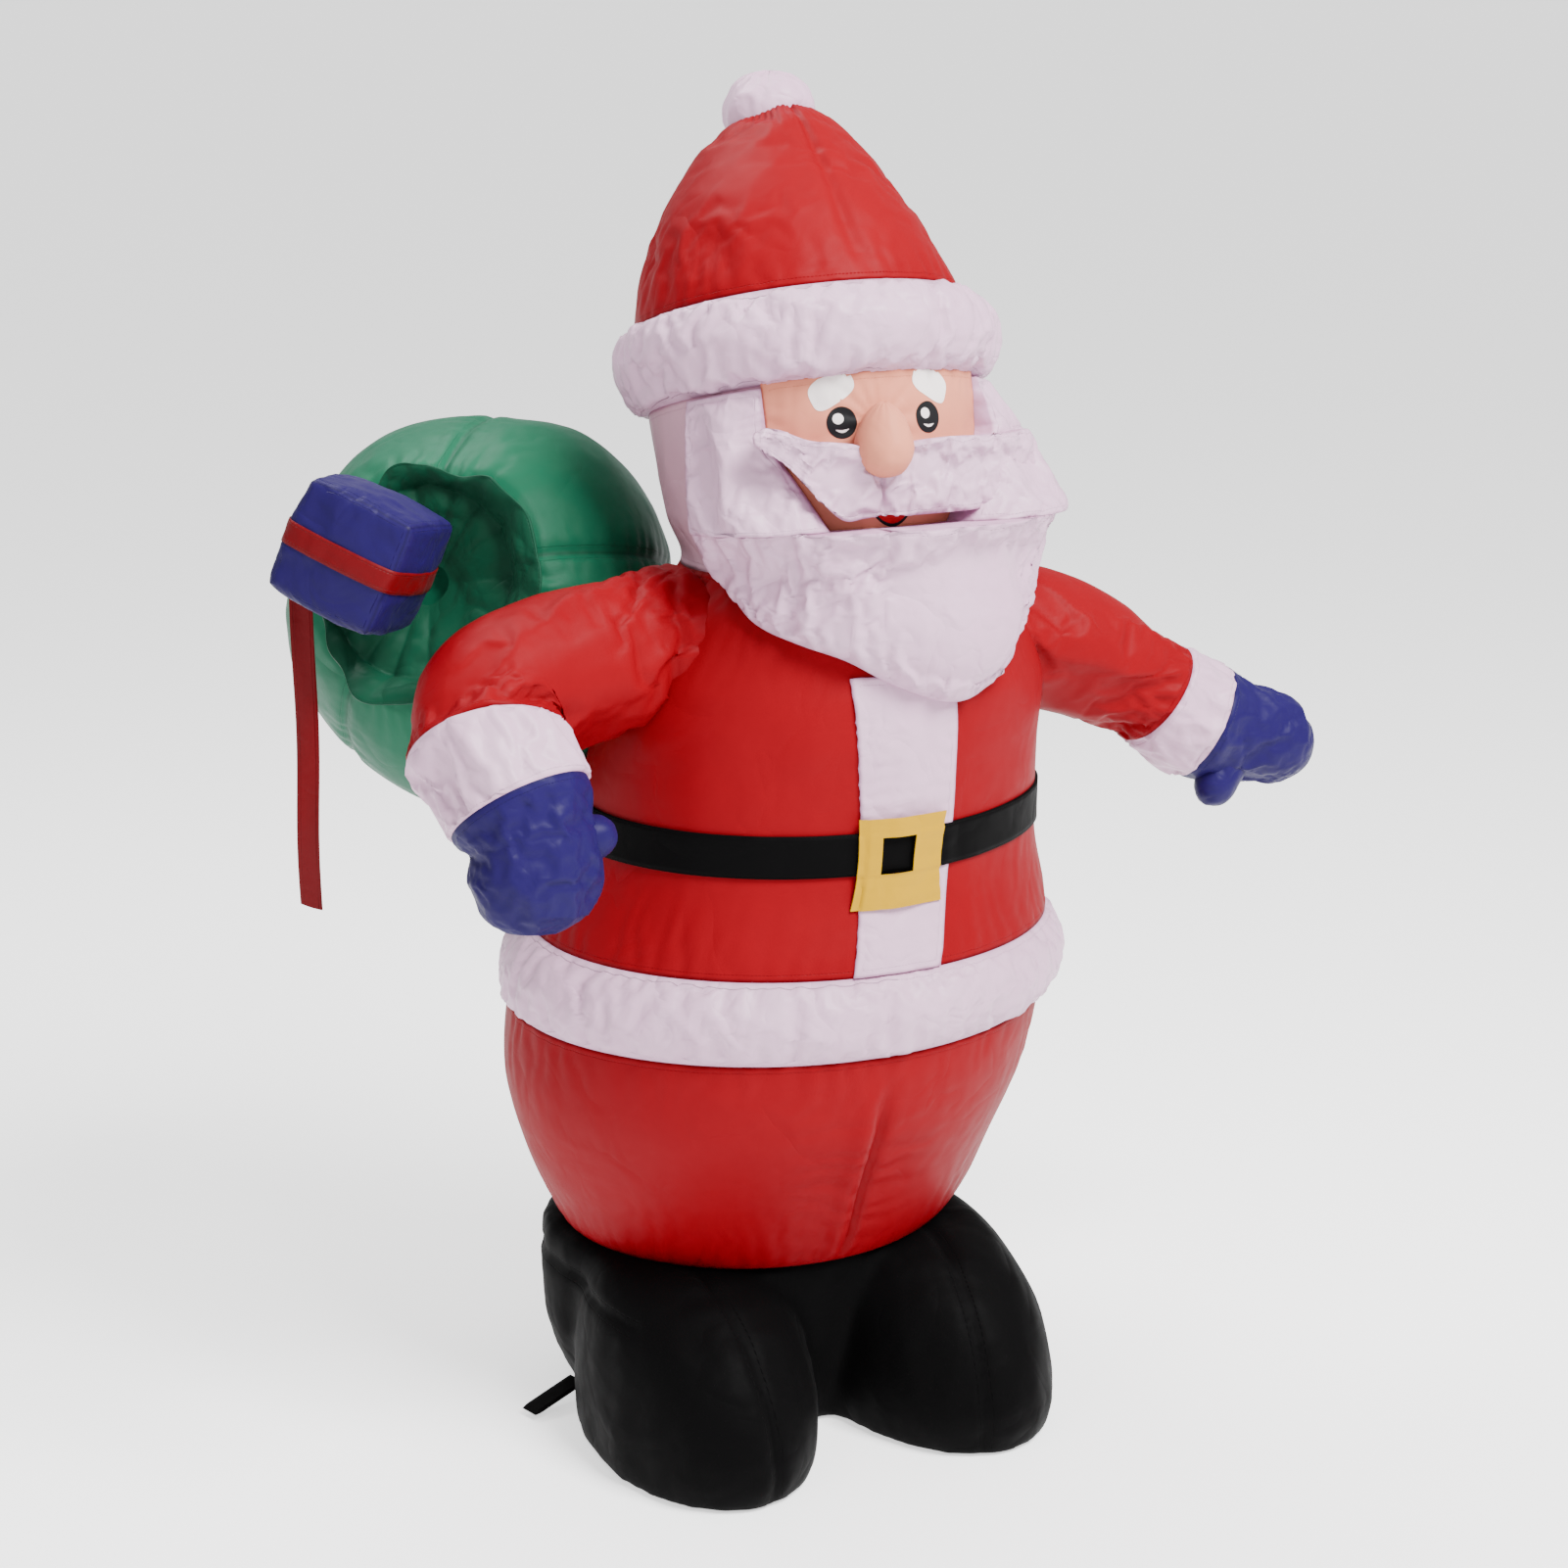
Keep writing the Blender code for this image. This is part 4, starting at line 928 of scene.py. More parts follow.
def ball(name, middle, half, look, node, seed, rough, narrowing=0.0, count=72):
    """A puffed ball, gathered at top and bottom."""
    bow = np.linspace(-pi / 2 + 0.03, pi / 2 - 0.03, count // 2)[:, None]
    turn = angles(count)[None, :]
    z = np.sin(bow) + 0 * turn
    taper = 1 - narrowing * z
    unit = np.stack([np.cos(bow) * np.sin(turn) * taper, -np.cos(bow) * np.cos(turn) * taper, z], -1)
    grid = np.asarray(middle) * H + unit * np.asarray(half) * H
    off = crumple(grid, 0.022, rough, seed)
    ribs = np.abs(np.sin(turn * 7 + soft(grid / 0.02, seed))) - 0.6
    off = off + 0.9 * rough * ribs * np.clip(np.abs(z) - 0.2, 0, 1)
    grid = grid + one_long(unit) * off[..., None]
    thing = build(name, grid, True, look, node, NO_SEAM, (grid[0].mean(0), grid[-1].mean(0)))
    outward(thing)
    return thing


# Head
FACE_RADIUS = 0.142
FACE_HALF = radians(44)
FACE_LEAN = radians(2)
MOUTH_HALF = radians(24)
BIB_RIGHT = radians(70)
BIB_LEFT = radians(86)
BIB_TOP = 0.691 * H
BIB_PUFF = 0.047 * H
BIB_LEAN = 0.016 * H
BIB_EDGE = 0.005
CHEEK = 0.745 * H
# Rows: degrees round the figure, height of the bib's lower edge as a share of H
BIB_LOW = np.array([
    (-86, 0.672),
    (-68, 0.661),
    (-57, 0.648),
    (-45, 0.634),
    (-30, 0.622),
    (-18, 0.612),
    (-4, 0.592),
    (12, 0.577),
    (24, 0.586),
    (36, 0.622),
    (55, 0.650),
    (86, 0.672),
])
FACE_TOP = BRIM_BOTTOM - 0.002 * H
FACE_OFF = 0.0023
NOSE_HEIGHT = 0.740 * H
NOSE_TURN = radians(-5)
NOSE_STAND = 0.014 * H
BEARD_THICK = 0.006
EYE_TURN = radians(16)
EYE_MIDDLE = radians(-0.7)
EYE_HEIGHT = 0.7515 * H
BROW_TURN = radians(18.4)
BROW_HEIGHT = 0.7712 * H


def face_edge(height):
    """Half the angle that the face panel spans at a height."""
    share = np.clip((height - BIB_TOP) / (CHEEK - BIB_TOP), 0, 1)
    return MOUTH_HALF + (FACE_HALF - MOUTH_HALF) * share


def face_middle(height):
    """The angle of the panel's middle, which leans to the figure's left above the mouth."""
    return FACE_LEAN * (face_edge(height) - MOUTH_HALF) / (FACE_HALF - MOUTH_HALF)


def bib_swell(angle):
    """How far the bib stands off, fuller on the figure's left."""
    return BIB_PUFF + BIB_LEAN * np.sin(angle)


def face_off(height, turn):
    """The face cloth's height over the hood: folds run out from the nose."""
    u = (turn - NOSE_TURN) * FACE_RADIUS
    v = height - NOSE_HEIGHT - 0.012
    reach = np.sqrt(u**2 + v**2)
    star = np.arctan2(v, u)
    folds = 0.0016 * (np.abs(np.sin(star * 7 + 2.0)) - 0.6) * np.exp(-((reach - 0.02) / 0.03)**2)
    return FACE_OFF + folds


class SANTA_OT_head(bpy.types.Operator):
    """Hood, face panel, nose and print"""
    bl_idname = "santa.head"
    bl_label = "Head"

    def execute(self, context):
        depth = props().gather_depth
        hood_in_painted_shade = casing("head_cloth", NECK, BRIM_BOTTOM, 40, "hood_in_painted_shade", "head", 0.0, 40, 0.020,
                      depth * 0.6, (0.06, 0.0012), 91, count=260)
        low, high = BIB_TOP - 0.004, FACE_TOP + 0.004
        heights = np.linspace(low, high, 60)[:, None]
        half = face_edge(heights)
        turn = face_middle(heights) + half * np.linspace(-1, 1, 90)[None, :]
        grid = figure(heights, turn, face_off(heights, turn))
        near = edges_away(grid)
        side = off_ends(grid, 1)
        off = gathers(lengths(grid, 0) / 0.013, grid, side, 0.014, 0.0018, 92)
        off = off + gathers(lengths(grid, 1) / 0.014, grid, high - heights + 0 * turn, 0.016, 0.0022, 93)
        off = off + np.clip(crumple(grid, 0.035, 0.0007, 94), -0.0008, 0.001)
        way = -normals(grid, False)
        way = way * np.sign(-way[..., 1:2])
        grid = grid + way * np.maximum(off, -0.0012)[..., None]
        build("face_cloth", rimmed(grid, grid - way * 0.003), False, "skin", "face",
              np.pad(near, 1))
        nose_middle = figure(NOSE_HEIGHT, NOSE_TURN, NOSE_STAND) / H
        nose = ball("nose_cloth", nose_middle, (0.0195, 0.023, 0.026), "skin", "nose", 95, 0.0008,
                    narrowing=0.25)
        face_print()
        return {"FINISHED"}


def patch(name, look, middle, outline, lift, target, rings=7):
    """A printed patch lying on the face; the outline is in metres about its middle."""
    height, turn = middle
    spots = [np.zeros(2)]
    count = len(outline)
    for ring in range(1, rings + 1):
        spots += [np.asarray(p) * ring / rings for p in outline]
    verts = []
    for u, v in spots:
        spot = figure(height + v, turn + u / FACE_RADIUS, 0.0)
        out = figure(height + v, turn + u / FACE_RADIUS, 0.03)
        way = Vector(spot) - Vector(out)
        way.normalize()
        hit = target.ray_cast(Vector(out), way, 0.08)
        base = hit[0] if hit[0] is not None else Vector(spot)
        verts.append(tuple(base - way * lift))
    faces = [(0, 1 + k, 1 + (k + 1) % count) for k in range(count)]
    for ring in range(1, rings):
        a, b = 1 + (ring - 1) * count, 1 + ring * count
        faces += [(a + k, b + k, b + (k + 1) % count, a + (k + 1) % count) for k in range(count)]
    mesh = bpy.data.meshes.new(name)
    mesh.from_pydata(verts, [], faces)
    mark_cloth(mesh, np.array(verts)[:, [0, 2]], NO_SEAM)
    mesh.shade_smooth()
    return place(name, mesh, look)


def oval(wide, high, lean=0.0, square=2.0, shift=(0, 0), count=40):
    """An oval outline, squarer as the power grows, leaned by an angle."""
    out = []
    for a in angles(count):
        c, s = cos(a), sin(a)
        x = wide * abs(c)**(2 / square) * (1 if c >= 0 else -1)
        y = high * abs(s)**(2 / square) * (1 if s >= 0 else -1)
        out.append((shift[0] + x * cos(lean) - y * sin(lean),
                    shift[1] + x * sin(lean) + y * cos(lean)))
    return out


def crescent(wide, high, thick, shift=(0, 0), count=20):
    """A smile-shaped outline, open side up."""
    x = np.linspace(-1, 1, count)
    low = [(wide * t + shift[0], -high * (1 - t * t) + shift[1]) for t in x]
    top = [(wide * t + shift[0], -high * (1 - t * t) + thick * (1 - t * t) + shift[1])
           for t in x[::-1][1:-1]]
    return low + top


def face_print():
    """Brows, eyes and mouth."""
    face = surface(bpy.data.objects["face_cloth"])
    for side, sign in (("right", -1), ("left", 1)):
        spot = (BROW_HEIGHT, EYE_MIDDLE + sign * BROW_TURN)
        patch("brow_" + side, "print_white", spot, oval(0.0190, 0.0108, -sign * 0.42, 3.4), 0.0003,
              face, 9)
        spot = (EYE_HEIGHT, EYE_MIDDLE + sign * EYE_TURN)
        patch("eye_" + side, "print_black", spot, oval(0.0125, 0.0108), 0.0003, face)
        light = EYE_HEIGHT + 0.0028
        patch("eye_light_" + side, "print_white", (light, spot[1] - 0.02), oval(0.0046, 0.0037),
              0.0006, face, 3)
        patch("eye_bow_" + side, "print_white", (EYE_HEIGHT - 0.0050, spot[1]),
              crescent(0.0058, 0.0024, 0.0016, (0, 0.0006)), 0.0006, face, 3)
    patch("mouth_line", "print_black", (0.6975 * H, radians(-1)),
          crescent(0.0185, 0.0100, 0.0112, (0, 0.0022)), 0.0003, face, 5)
    patch("mouth", "print_red", (0.6975 * H, radians(-1)),
          crescent(0.0165, 0.0085, 0.0085, (0, 0.0030)), 0.0004, face, 5)


# Beard
def puffed(name, height, turn, front, look, node, seed, wrinkle, folds, depth, sim=None):
    """A puffed piece over the figure, its edges coming down to it."""
    grid = figure(height, turn, front)
    base = figure(height, turn)
    if sim:
        grid = inflate(grid, False, seed=seed, **sim)
    way = normals(grid, False)
    way = way * np.sign(np.einsum("ijk,ijk->ij", way, grid - figure(height, turn, -0.05))).mean()
    way = one_long(way)
    near = edges_away(grid)
    off = crumple(grid, *wrinkle, seed=seed)
    down, across = lengths(grid, 0), lengths(grid, 1)
    for phase, away, extra in ((across / folds, down, 1), (across / folds, down[-1:] - down, 2),
                               (down / folds, across, 3), (down / folds, across[:, -1:] - across, 4)):
        off = off + gathers(phase, grid, away, 0.022, depth, seed + extra)
    off = off * (1 - np.exp(-near / 0.006))
    grid = grid + way * off[..., None]
    thing = build(name, rimmed(grid, base), False, look, node, np.pad(near, 1))
    outward(thing)
    return thing


class SANTA_OT_beard(bpy.types.Operator):
    """Beard sides, bib and moustache"""
    bl_idname = "santa.beard"
    bl_label = "Beard"

    def execute(self, context):
        depth = props().gather_depth
        for side, sign in (("right", -1), ("left", 1)):
            share = np.linspace(0, 1, 56)[:, None]
            height = BIB_TOP + (FACE_TOP - BIB_TOP) * share
            inner = face_edge(height) + sign * face_middle(height)
            outer = BIB_RIGHT if sign < 0 else BIB_LEFT - 0.35 * share**2
            across = np.linspace(0, 1, 60)[None, :]
            turn = sign * (inner + (outer - inner) * across)
            flare = bib_swell(turn) * (1 - share)**0.8 * swell(0.03 + 0.89 * across)
            puffed("beard_" + side + "_cloth", height, turn, BEARD_THICK + flare, "white",
                   "beard_" + side, 101 if sign < 0 else 106, (0.06, 0.0014), 0.018, depth * 0.5,
                   sim=dict(growth=0.05, pressure=sign * 1.0, cap=0.008))
        share = np.linspace(0, 1, 60)[:, None]
        across = np.linspace(-1, 1, 170)[None, :]
        turn = -BIB_RIGHT + (BIB_RIGHT + BIB_LEFT) * (across + 1) / 2 + 0 * share
        low = curve(BIB_LOW, np.degrees(turn))[..., 0] * H
        height = low + (BIB_TOP - low) * share
        ends = np.sqrt(swell(0.03 + 0.90 * (across + 1) / 2))
        front = BIB_EDGE + 0.002 + bib_swell(turn) * np.sqrt(1 - (1 - share)**2.4) * ends
        puffed("bib_cloth", height, turn, front - 0.004, "white", "bib", 111, (0.08, 0.0024),
               0.020, depth * 0.8, sim=dict(growth=0.06, pressure=1.5, cap=0.012))
        moustache()
        return {"FINISHED"}


# Rows: degrees round the figure, bottom height, top height
LOBES = np.array([
    (-41, 0.744, 0.749),
    (-38, 0.740, 0.751),
    (-34, 0.733, 0.748),
    (-27, 0.715, 0.742),
    (-20, 0.701, 0.740),
    (-13, 0.701, 0.737),
    (-6, 0.702, 0.727),
    (2, 0.701, 0.736),
    (12, 0.701, 0.739),
    (28, 0.701, 0.739),
    (44, 0.702, 0.740),
    (54, 0.706, 0.742),
    (60, 0.714, 0.741),
])
LOBES_MIDDLE = -6.0
LOBE_HANG = 0.004
LOBE_PUFF = 0.014 * H
LOBE_RISE = 0.024 * H


def moustache():
    """Two lobes in one piece, pinched under the nose."""
    share = np.linspace(0, 1, 34)[:, None]
    turned = np.linspace(LOBES[0, 0], LOBES[-1, 0], 140)[None, :] + 0 * share
    row = curve(LOBES, turned) * H
    height = row[..., 0] - LOBE_HANG + (row[..., 1] - row[..., 0] + LOBE_HANG) * share
    end = np.where(turned > LOBES_MIDDLE, LOBES[-1, 0], LOBES[0, 0])
    t = (turned - LOBES_MIDDLE) / (end - LOBES_MIDDLE)
    fold = 1 - 0.45 * np.exp(-(np.abs(turned - LOBES_MIDDLE) / 2.5))
    front = (FACE_OFF + BEARD_THICK + LOBE_PUFF * swell(0.1 + 0.8 * share) * fold
             + LOBE_RISE * t)
    puffed("moustache_cloth", height, np.radians(turned), front - 0.003, "white", "moustache",
           121, (0.045, 0.0016), 0.014, props().gather_depth * 0.5,
           sim=dict(growth=0.10, pressure=1.0, cap=0.010))


# Sack
SACK_MIDDLE = np.array((-0.191, 0.133, 0.609)) * H
SACK_AXIS = np.array(Vector((-0.62, -0.70, 0.35)).normalized())
SACK_SIDE = np.array(Vector(SACK_AXIS).cross(Vector((0, 0, 1))).normalized())
SACK_UP = np.cross(SACK_SIDE, SACK_AXIS)
SACK_HALF = 0.150 * H
SACK_LENGTH = 0.152 * H
SACK_MOUTH = SACK_LENGTH * sin(radians(48))
SACK_NECK = 0.060 * H
SACK_DRAW = 1.45
SACK_GORES = 5
COLLAR_LENGTH = 0.052 * H
COLLAR_SHORT = 0.018 * H
COLLAR_RADIUS = 0.070 * H
COLLAR_FLARE = 0.020 * H
COLLAR_LONG_TURN = radians(-125)
COLLAR_THICK = 0.004
COLLAR_SPREAD = 0.032
TIE_AT = 0.002 * H
TIE_WIDTH = 0.012
TAIL_ROOT = np.array((-0.354, 0.056, 0.634)) * H
TAIL_LENGTH = 0.262
TAIL_TUCK = 0.020
TAIL_ACROSS = (0.906, -0.423, 0.0)
TAIL_FRONT = (-0.423, -0.906, 0.0)
TAIL_WIDTH = 0.020


def sack_point(along, radius, turn):
    """Points about the sack's axis, which runs from its foot to its mouth."""
    along, radius, turn = np.broadcast_arrays(along, radius, turn)
    return (SACK_MIDDLE + SACK_AXIS * along[..., None]
            + SACK_SIDE * (radius * np.sin(turn))[..., None]
            + SACK_UP * (radius * np.cos(turn))[..., None])


def press(grid, clear=0.001):
    """Push points that lie inside the trunk out to its back."""
    row = curve(SPINE, grid[..., 2] / H)
    x, y = grid[..., 0] - row[..., 0] * H, grid[..., 1] - row[..., 1] * H
    wide, thick = row[..., 2] * H + clear, row[..., 3] * H + clear
    share = np.sqrt((x / wide)**2 + (y / thick)**2)
    grow = np.where(share < 1, 1 / np.maximum(share, 0.2), 1.0)
    out = grid.copy()
    out[..., 0] = row[..., 0] * H + x * grow
    out[..., 1] = row[..., 1] * H + y * grow
    return out


class SANTA_OT_sack(bpy.types.Operator):
    """Sack, its mouth, tie and hanging end"""
    bl_idname = "santa.sack"
    bl_label = "Sack"

    def execute(self, context):
        depth = props().gather_depth
        bow = np.radians(np.linspace(-84, 44, 104))[:, None]
        turn = angles(220)[None, :]
        draw = np.linspace(0, 1, 16)[:, None]
        wide = SACK_HALF * np.cos(bow)**np.where(bow > 0, SACK_DRAW, 1.0)
        base = np.concatenate([wide, wide[-1:] + (SACK_NECK - wide[-1:]) * draw[1:]], 0)
        along = np.concatenate([SACK_LENGTH * np.sin(bow), SACK_MOUTH
                                + (SACK_LENGTH * sin(radians(44)) - SACK_MOUTH) * (1 - draw[1:])**2], 0)
        seam_turn = np.mod(turn * SACK_GORES / (2 * pi) + 0.5, 1.0) - 0.5
        seam_away = np.abs(seam_turn) * 2 * pi / SACK_GORES * base
        radius = base * (1 - 0.02 * np.cos(SACK_GORES * turn))
        grid = sack_point(along, radius, turn)
        way = one_long(grid - SACK_MIDDLE)
        run = lengths(grid, 0)
        above = run[-1:] - run
        off = gathers(run / 0.016, grid, seam_away, 0.026, depth * 0.8, 131)
        off = off - 0.004 * np.exp(-(seam_away / 0.006)**1.5)
        off = off + gathers(turn * 36 / (2 * pi), grid, above, 0.05, depth * 1.5, 132)
        off = off + crumple(grid, 0.09, 0.0030, 133)
        grid = press(grid + way * off[..., None])
        near = np.minimum(seam_away, above)
        bag = build("sack_cloth", grid, True, "green", "sack", near,
                    (grid[0].mean(0), grid[-1].mean(0) - SACK_AXIS * 0.02))
        outward(bag)
        self.collar()
        self.tie()
        self.tail()
        return {"FINISHED"}

    def collar(self):
        """The loose cloth past the tie, fuller on the side away from the gift."""
        turn = angles(260)[None, :]
        inside = np.linspace(0, 1, 26)[:-1, None]
        share = np.linspace(0, 1, 40)[:, None]
        full = 0.5 + 0.5 * np.cos(turn - COLLAR_LONG_TURN)
        reach = COLLAR_SHORT + (COLLAR_LENGTH - COLLAR_SHORT) * full
        waves = 1.2 * np.sin(turn * 3 + 2 * np.sin(turn * 2)) + 0.35 * np.sin(turn * 13 + share * 3)
        folds = np.abs(np.sin(turn * 5 + 2.2 * np.sin(turn * 2 + 1))) - 0.5
        bottom = COLLAR_RADIUS * (0.22 + 0.78 * inside)
        along = np.concatenate([SACK_MOUTH + 0.010 - 0.016 * (1 - inside)**2 + 0.006 * inside
                                * folds + 0 * turn,
                                SACK_MOUTH + 0.010 + reach * share * (0.95 - 0.45 * share)
                                + 0.006 * (1 - share) * folds + 0.003 * share * waves], 0)
        radius = np.concatenate([bottom + 0 * turn,
                                 COLLAR_RADIUS + COLLAR_SPREAD * (0.30 + 0.70 * full) * share**1.2
                                 + 0.0050 * share * waves], 0)
        grid = sack_point(along, radius, turn)
        way = one_long(sack_point(along - 0.01, radius + 0.006, turn) - grid)
        off = crumple(grid, 0.045, 0.0040, 142)
        outer = grid + way * (off + COLLAR_THICK / 2)[..., None]
        inner = outer - way * 0.0015
        skin = np.concatenate([outer, inner[::-1]], 0)
        edge = np.concatenate([reach + 0 * inside, reach * (1 - share)], 0)
        near = np.concatenate([edge, edge[::-1]], 0)
        # The collar's darker green is painted shade on the sack's own cloth
        thing = build("sack_collar_cloth", skin, True, "dark_green", "sack_collar", near + 0.004)
        outward(thing)

    def tie(self):
        """The ribbon drawn round the mouth."""
        turn = angles(160)[None, :]
        share = np.linspace(0, 1, 8)[:, None]
        along = SACK_MOUTH + TIE_AT + TIE_WIDTH * share
        radius = COLLAR_RADIUS + COLLAR_FLARE * (along - SACK_MOUTH) / COLLAR_LENGTH + 0.0035
        grid = sack_point(along, radius + 0.0008 * np.sin(turn * 17) * np.cos(share * 3), turn)
        way = one_long(sack_point(along, radius + 0.01, turn) - grid)
        skin = np.concatenate([grid, (grid - way * 0.001)[::-1], grid[:1]], 0)
        near = np.concatenate([np.minimum(share, 1 - share) * TIE_WIDTH + 0 * turn] * 2
                              + [0 * turn], 0)
        thing = build("tie_ribbon_cloth", skin, True, "ribbon", "tie_ribbon", near + 0.003)
        outward(thing)

    def tail(self):
        """The tie's free end, hanging with a slight sway."""
        across, front = np.array(TAIL_ACROSS), np.array(TAIL_FRONT)
        share = np.linspace(0, 1, 90)[:, None]
        wide = np.linspace(-0.5, 0.5, 9)[None, :]
        down = (TAIL_LENGTH + TAIL_TUCK) * share - TAIL_TUCK
        sway = 0.006 * np.sin(pi * share) + 0.002 * np.sin(11 * share) * share
        curl = 0.0025 * np.sin(3 * pi * share + 0.8) * (wide * 2)**2
        side = TAIL_WIDTH * wide * (1 - 0.06 * share) + 0.003 * np.sin(5 * share) * share
        slant = np.array((0, 0, 1)) * (-down - 0.006 * wide * np.clip(share * 12 - 11, 0, 1))[..., None]
        grid = TAIL_ROOT + slant + across * side[..., None] + front * (sway + curl)[..., None]
        back = grid - front * 0.0008
        skin = np.concatenate([grid, back[:, ::-1]], 1)
        near = np.concatenate([np.minimum(wide + 0.5, 0.5 - wide) * TAIL_WIDTH + 0 * share] * 2, 1)
        thing = build("ribbon_tail_cloth", skin, True, "ribbon", "ribbon_tail", near + 0.003)
        outward(thing)


# Gift
GIFT_SIZE = 0.108
GIFT_ROUND = 0.30
GIFT_BALL = 1.22
RIBBON_HALF = 0.010
GIFT_MIDDLE = Vector((-0.323, 0.008, 0.683)) * H
GIFT_UP = Vector((0.38, -0.14, 0.90)).normalized()
GIFT_FACE = Vector((-0.63, -0.76, 0.15))


def gift_frame():
    """The box's own axes, as a turn, and its middle."""
    face_way = (GIFT_FACE - GIFT_UP * GIFT_FACE.dot(GIFT_UP)).normalized()
    other = GIFT_UP.cross(face_way)
    turned = np.array(Matrix((face_way, other, GIFT_UP)).transposed())
    return turned, np.array(GIFT_MIDDLE)


def gift_puff(unit):
    """Points on a cube of half size 1 as the puffed box, and how far they are from its edges."""
    away = 1 - np.sort(np.abs(unit), axis=-1)[..., 1]
    half = GIFT_SIZE / 2
    shape = unit * (1 - GIFT_ROUND) + one_long(unit) * GIFT_BALL * GIFT_ROUND
    pull = 1 - 0.05 * np.exp(-(away / 0.10)**1.2)[..., None]
    return shape * pull * half, away * half


class SANTA_OT_gift(bpy.types.Operator):
    """Gift box and its ribbon"""
    bl_idname = "santa.gift"
    bl_label = "Gift"

    def execute(self, context):
        turned, middle = gift_frame()
        shape = bmesh.new()
        bmesh.ops.create_cube(shape, size=2.0)
        bmesh.ops.subdivide_edges(shape, edges=shape.edges[:], cuts=31, use_grid_fill=True)
        unit = np.array([vert.co[:] for vert in shape.verts])
        spots, away = gift_puff(unit)
        way = one_long(spots)
        off = crumple(spots, 0.03, 0.0022, 151)
        off = off + gathers(spots.sum(1) / 0.012, spots, away, 0.014, 0.003, 152)
        spots = (spots + way * off[:, None]) @ turned.T + middle
        for vert, spot in zip(shape.verts, spots):
            vert.co = spot
        mesh = bpy.data.meshes.new("gift_cloth")
        shape.to_mesh(mesh)
        shape.free()
        x, y, z = vertex_rows(mesh, "co").T
        mark_cloth(mesh, np.stack([x + y, z], -1), away)
        mesh.shade_smooth()
        box = place("gift_cloth", mesh, "blue", "gift")
        self.band(turned, middle, box)
        return {"FINISHED"}

    def band(self, turned, middle, box):
        """A ribbon lying round the box."""
        target = surface(box)
        rows = np.linspace(-RIBBON_HALF, RIBBON_HALF, 8)
        turn = np.linspace(0, 2 * pi, 161)[:-1]
        grid = np.zeros((len(rows), len(turn), 3))
        for i, lift in enumerate(rows):
            for j, a in enumerate(turn):
                way = turned @ np.array((cos(a), sin(a), 0.0))
                start = middle + turned @ np.array((0, 0, lift)) + way * 0.12
                hit = target.ray_cast(Vector(start), Vector(-way), 0.2)
                grid[i, j] = np.array(hit[0]) + way * 0.0012
        smooth = (np.roll(grid, 1, 1) + np.roll(grid, -1, 1) + 2 * grid) / 4
        inner = (smooth - middle) * 0.985 + middle
        near = np.minimum(rows + RIBBON_HALF, RIBBON_HALF - rows)[:, None] + 0 * turn[None, :]
        skin = np.concatenate([inner[:1], smooth, inner[-1:]], 0)
        thing = build("gift_ribbon_cloth", skin, True, "ribbon", "gift_ribbon",
                      np.pad(near + 0.003, ((1, 1), (0, 0)), mode="edge"))
        outward(thing)


# Boots
# Seams: a point on each, the way it faces, and how far it runs
BOOT_SEAMS = (
    ((-0.128, -0.20, 0.08), (1.0, 0.10, 0.0), 0.14),
    ((0.088, -0.20, 0.08), (1.0, -0.10, 0.0), 0.14),
    ((-0.15, 0.0, 0.135), (0.0, 0.0, 1.0), 0.16),
)
BOOT_CELL = 0.006
TETHER_ROOT = np.array((-0.178, 0.011, 0.016)) * H
TETHER_LENGTH = 0.050
TETHER_WIDTH = 0.020
TETHER_HALF = 0.0013


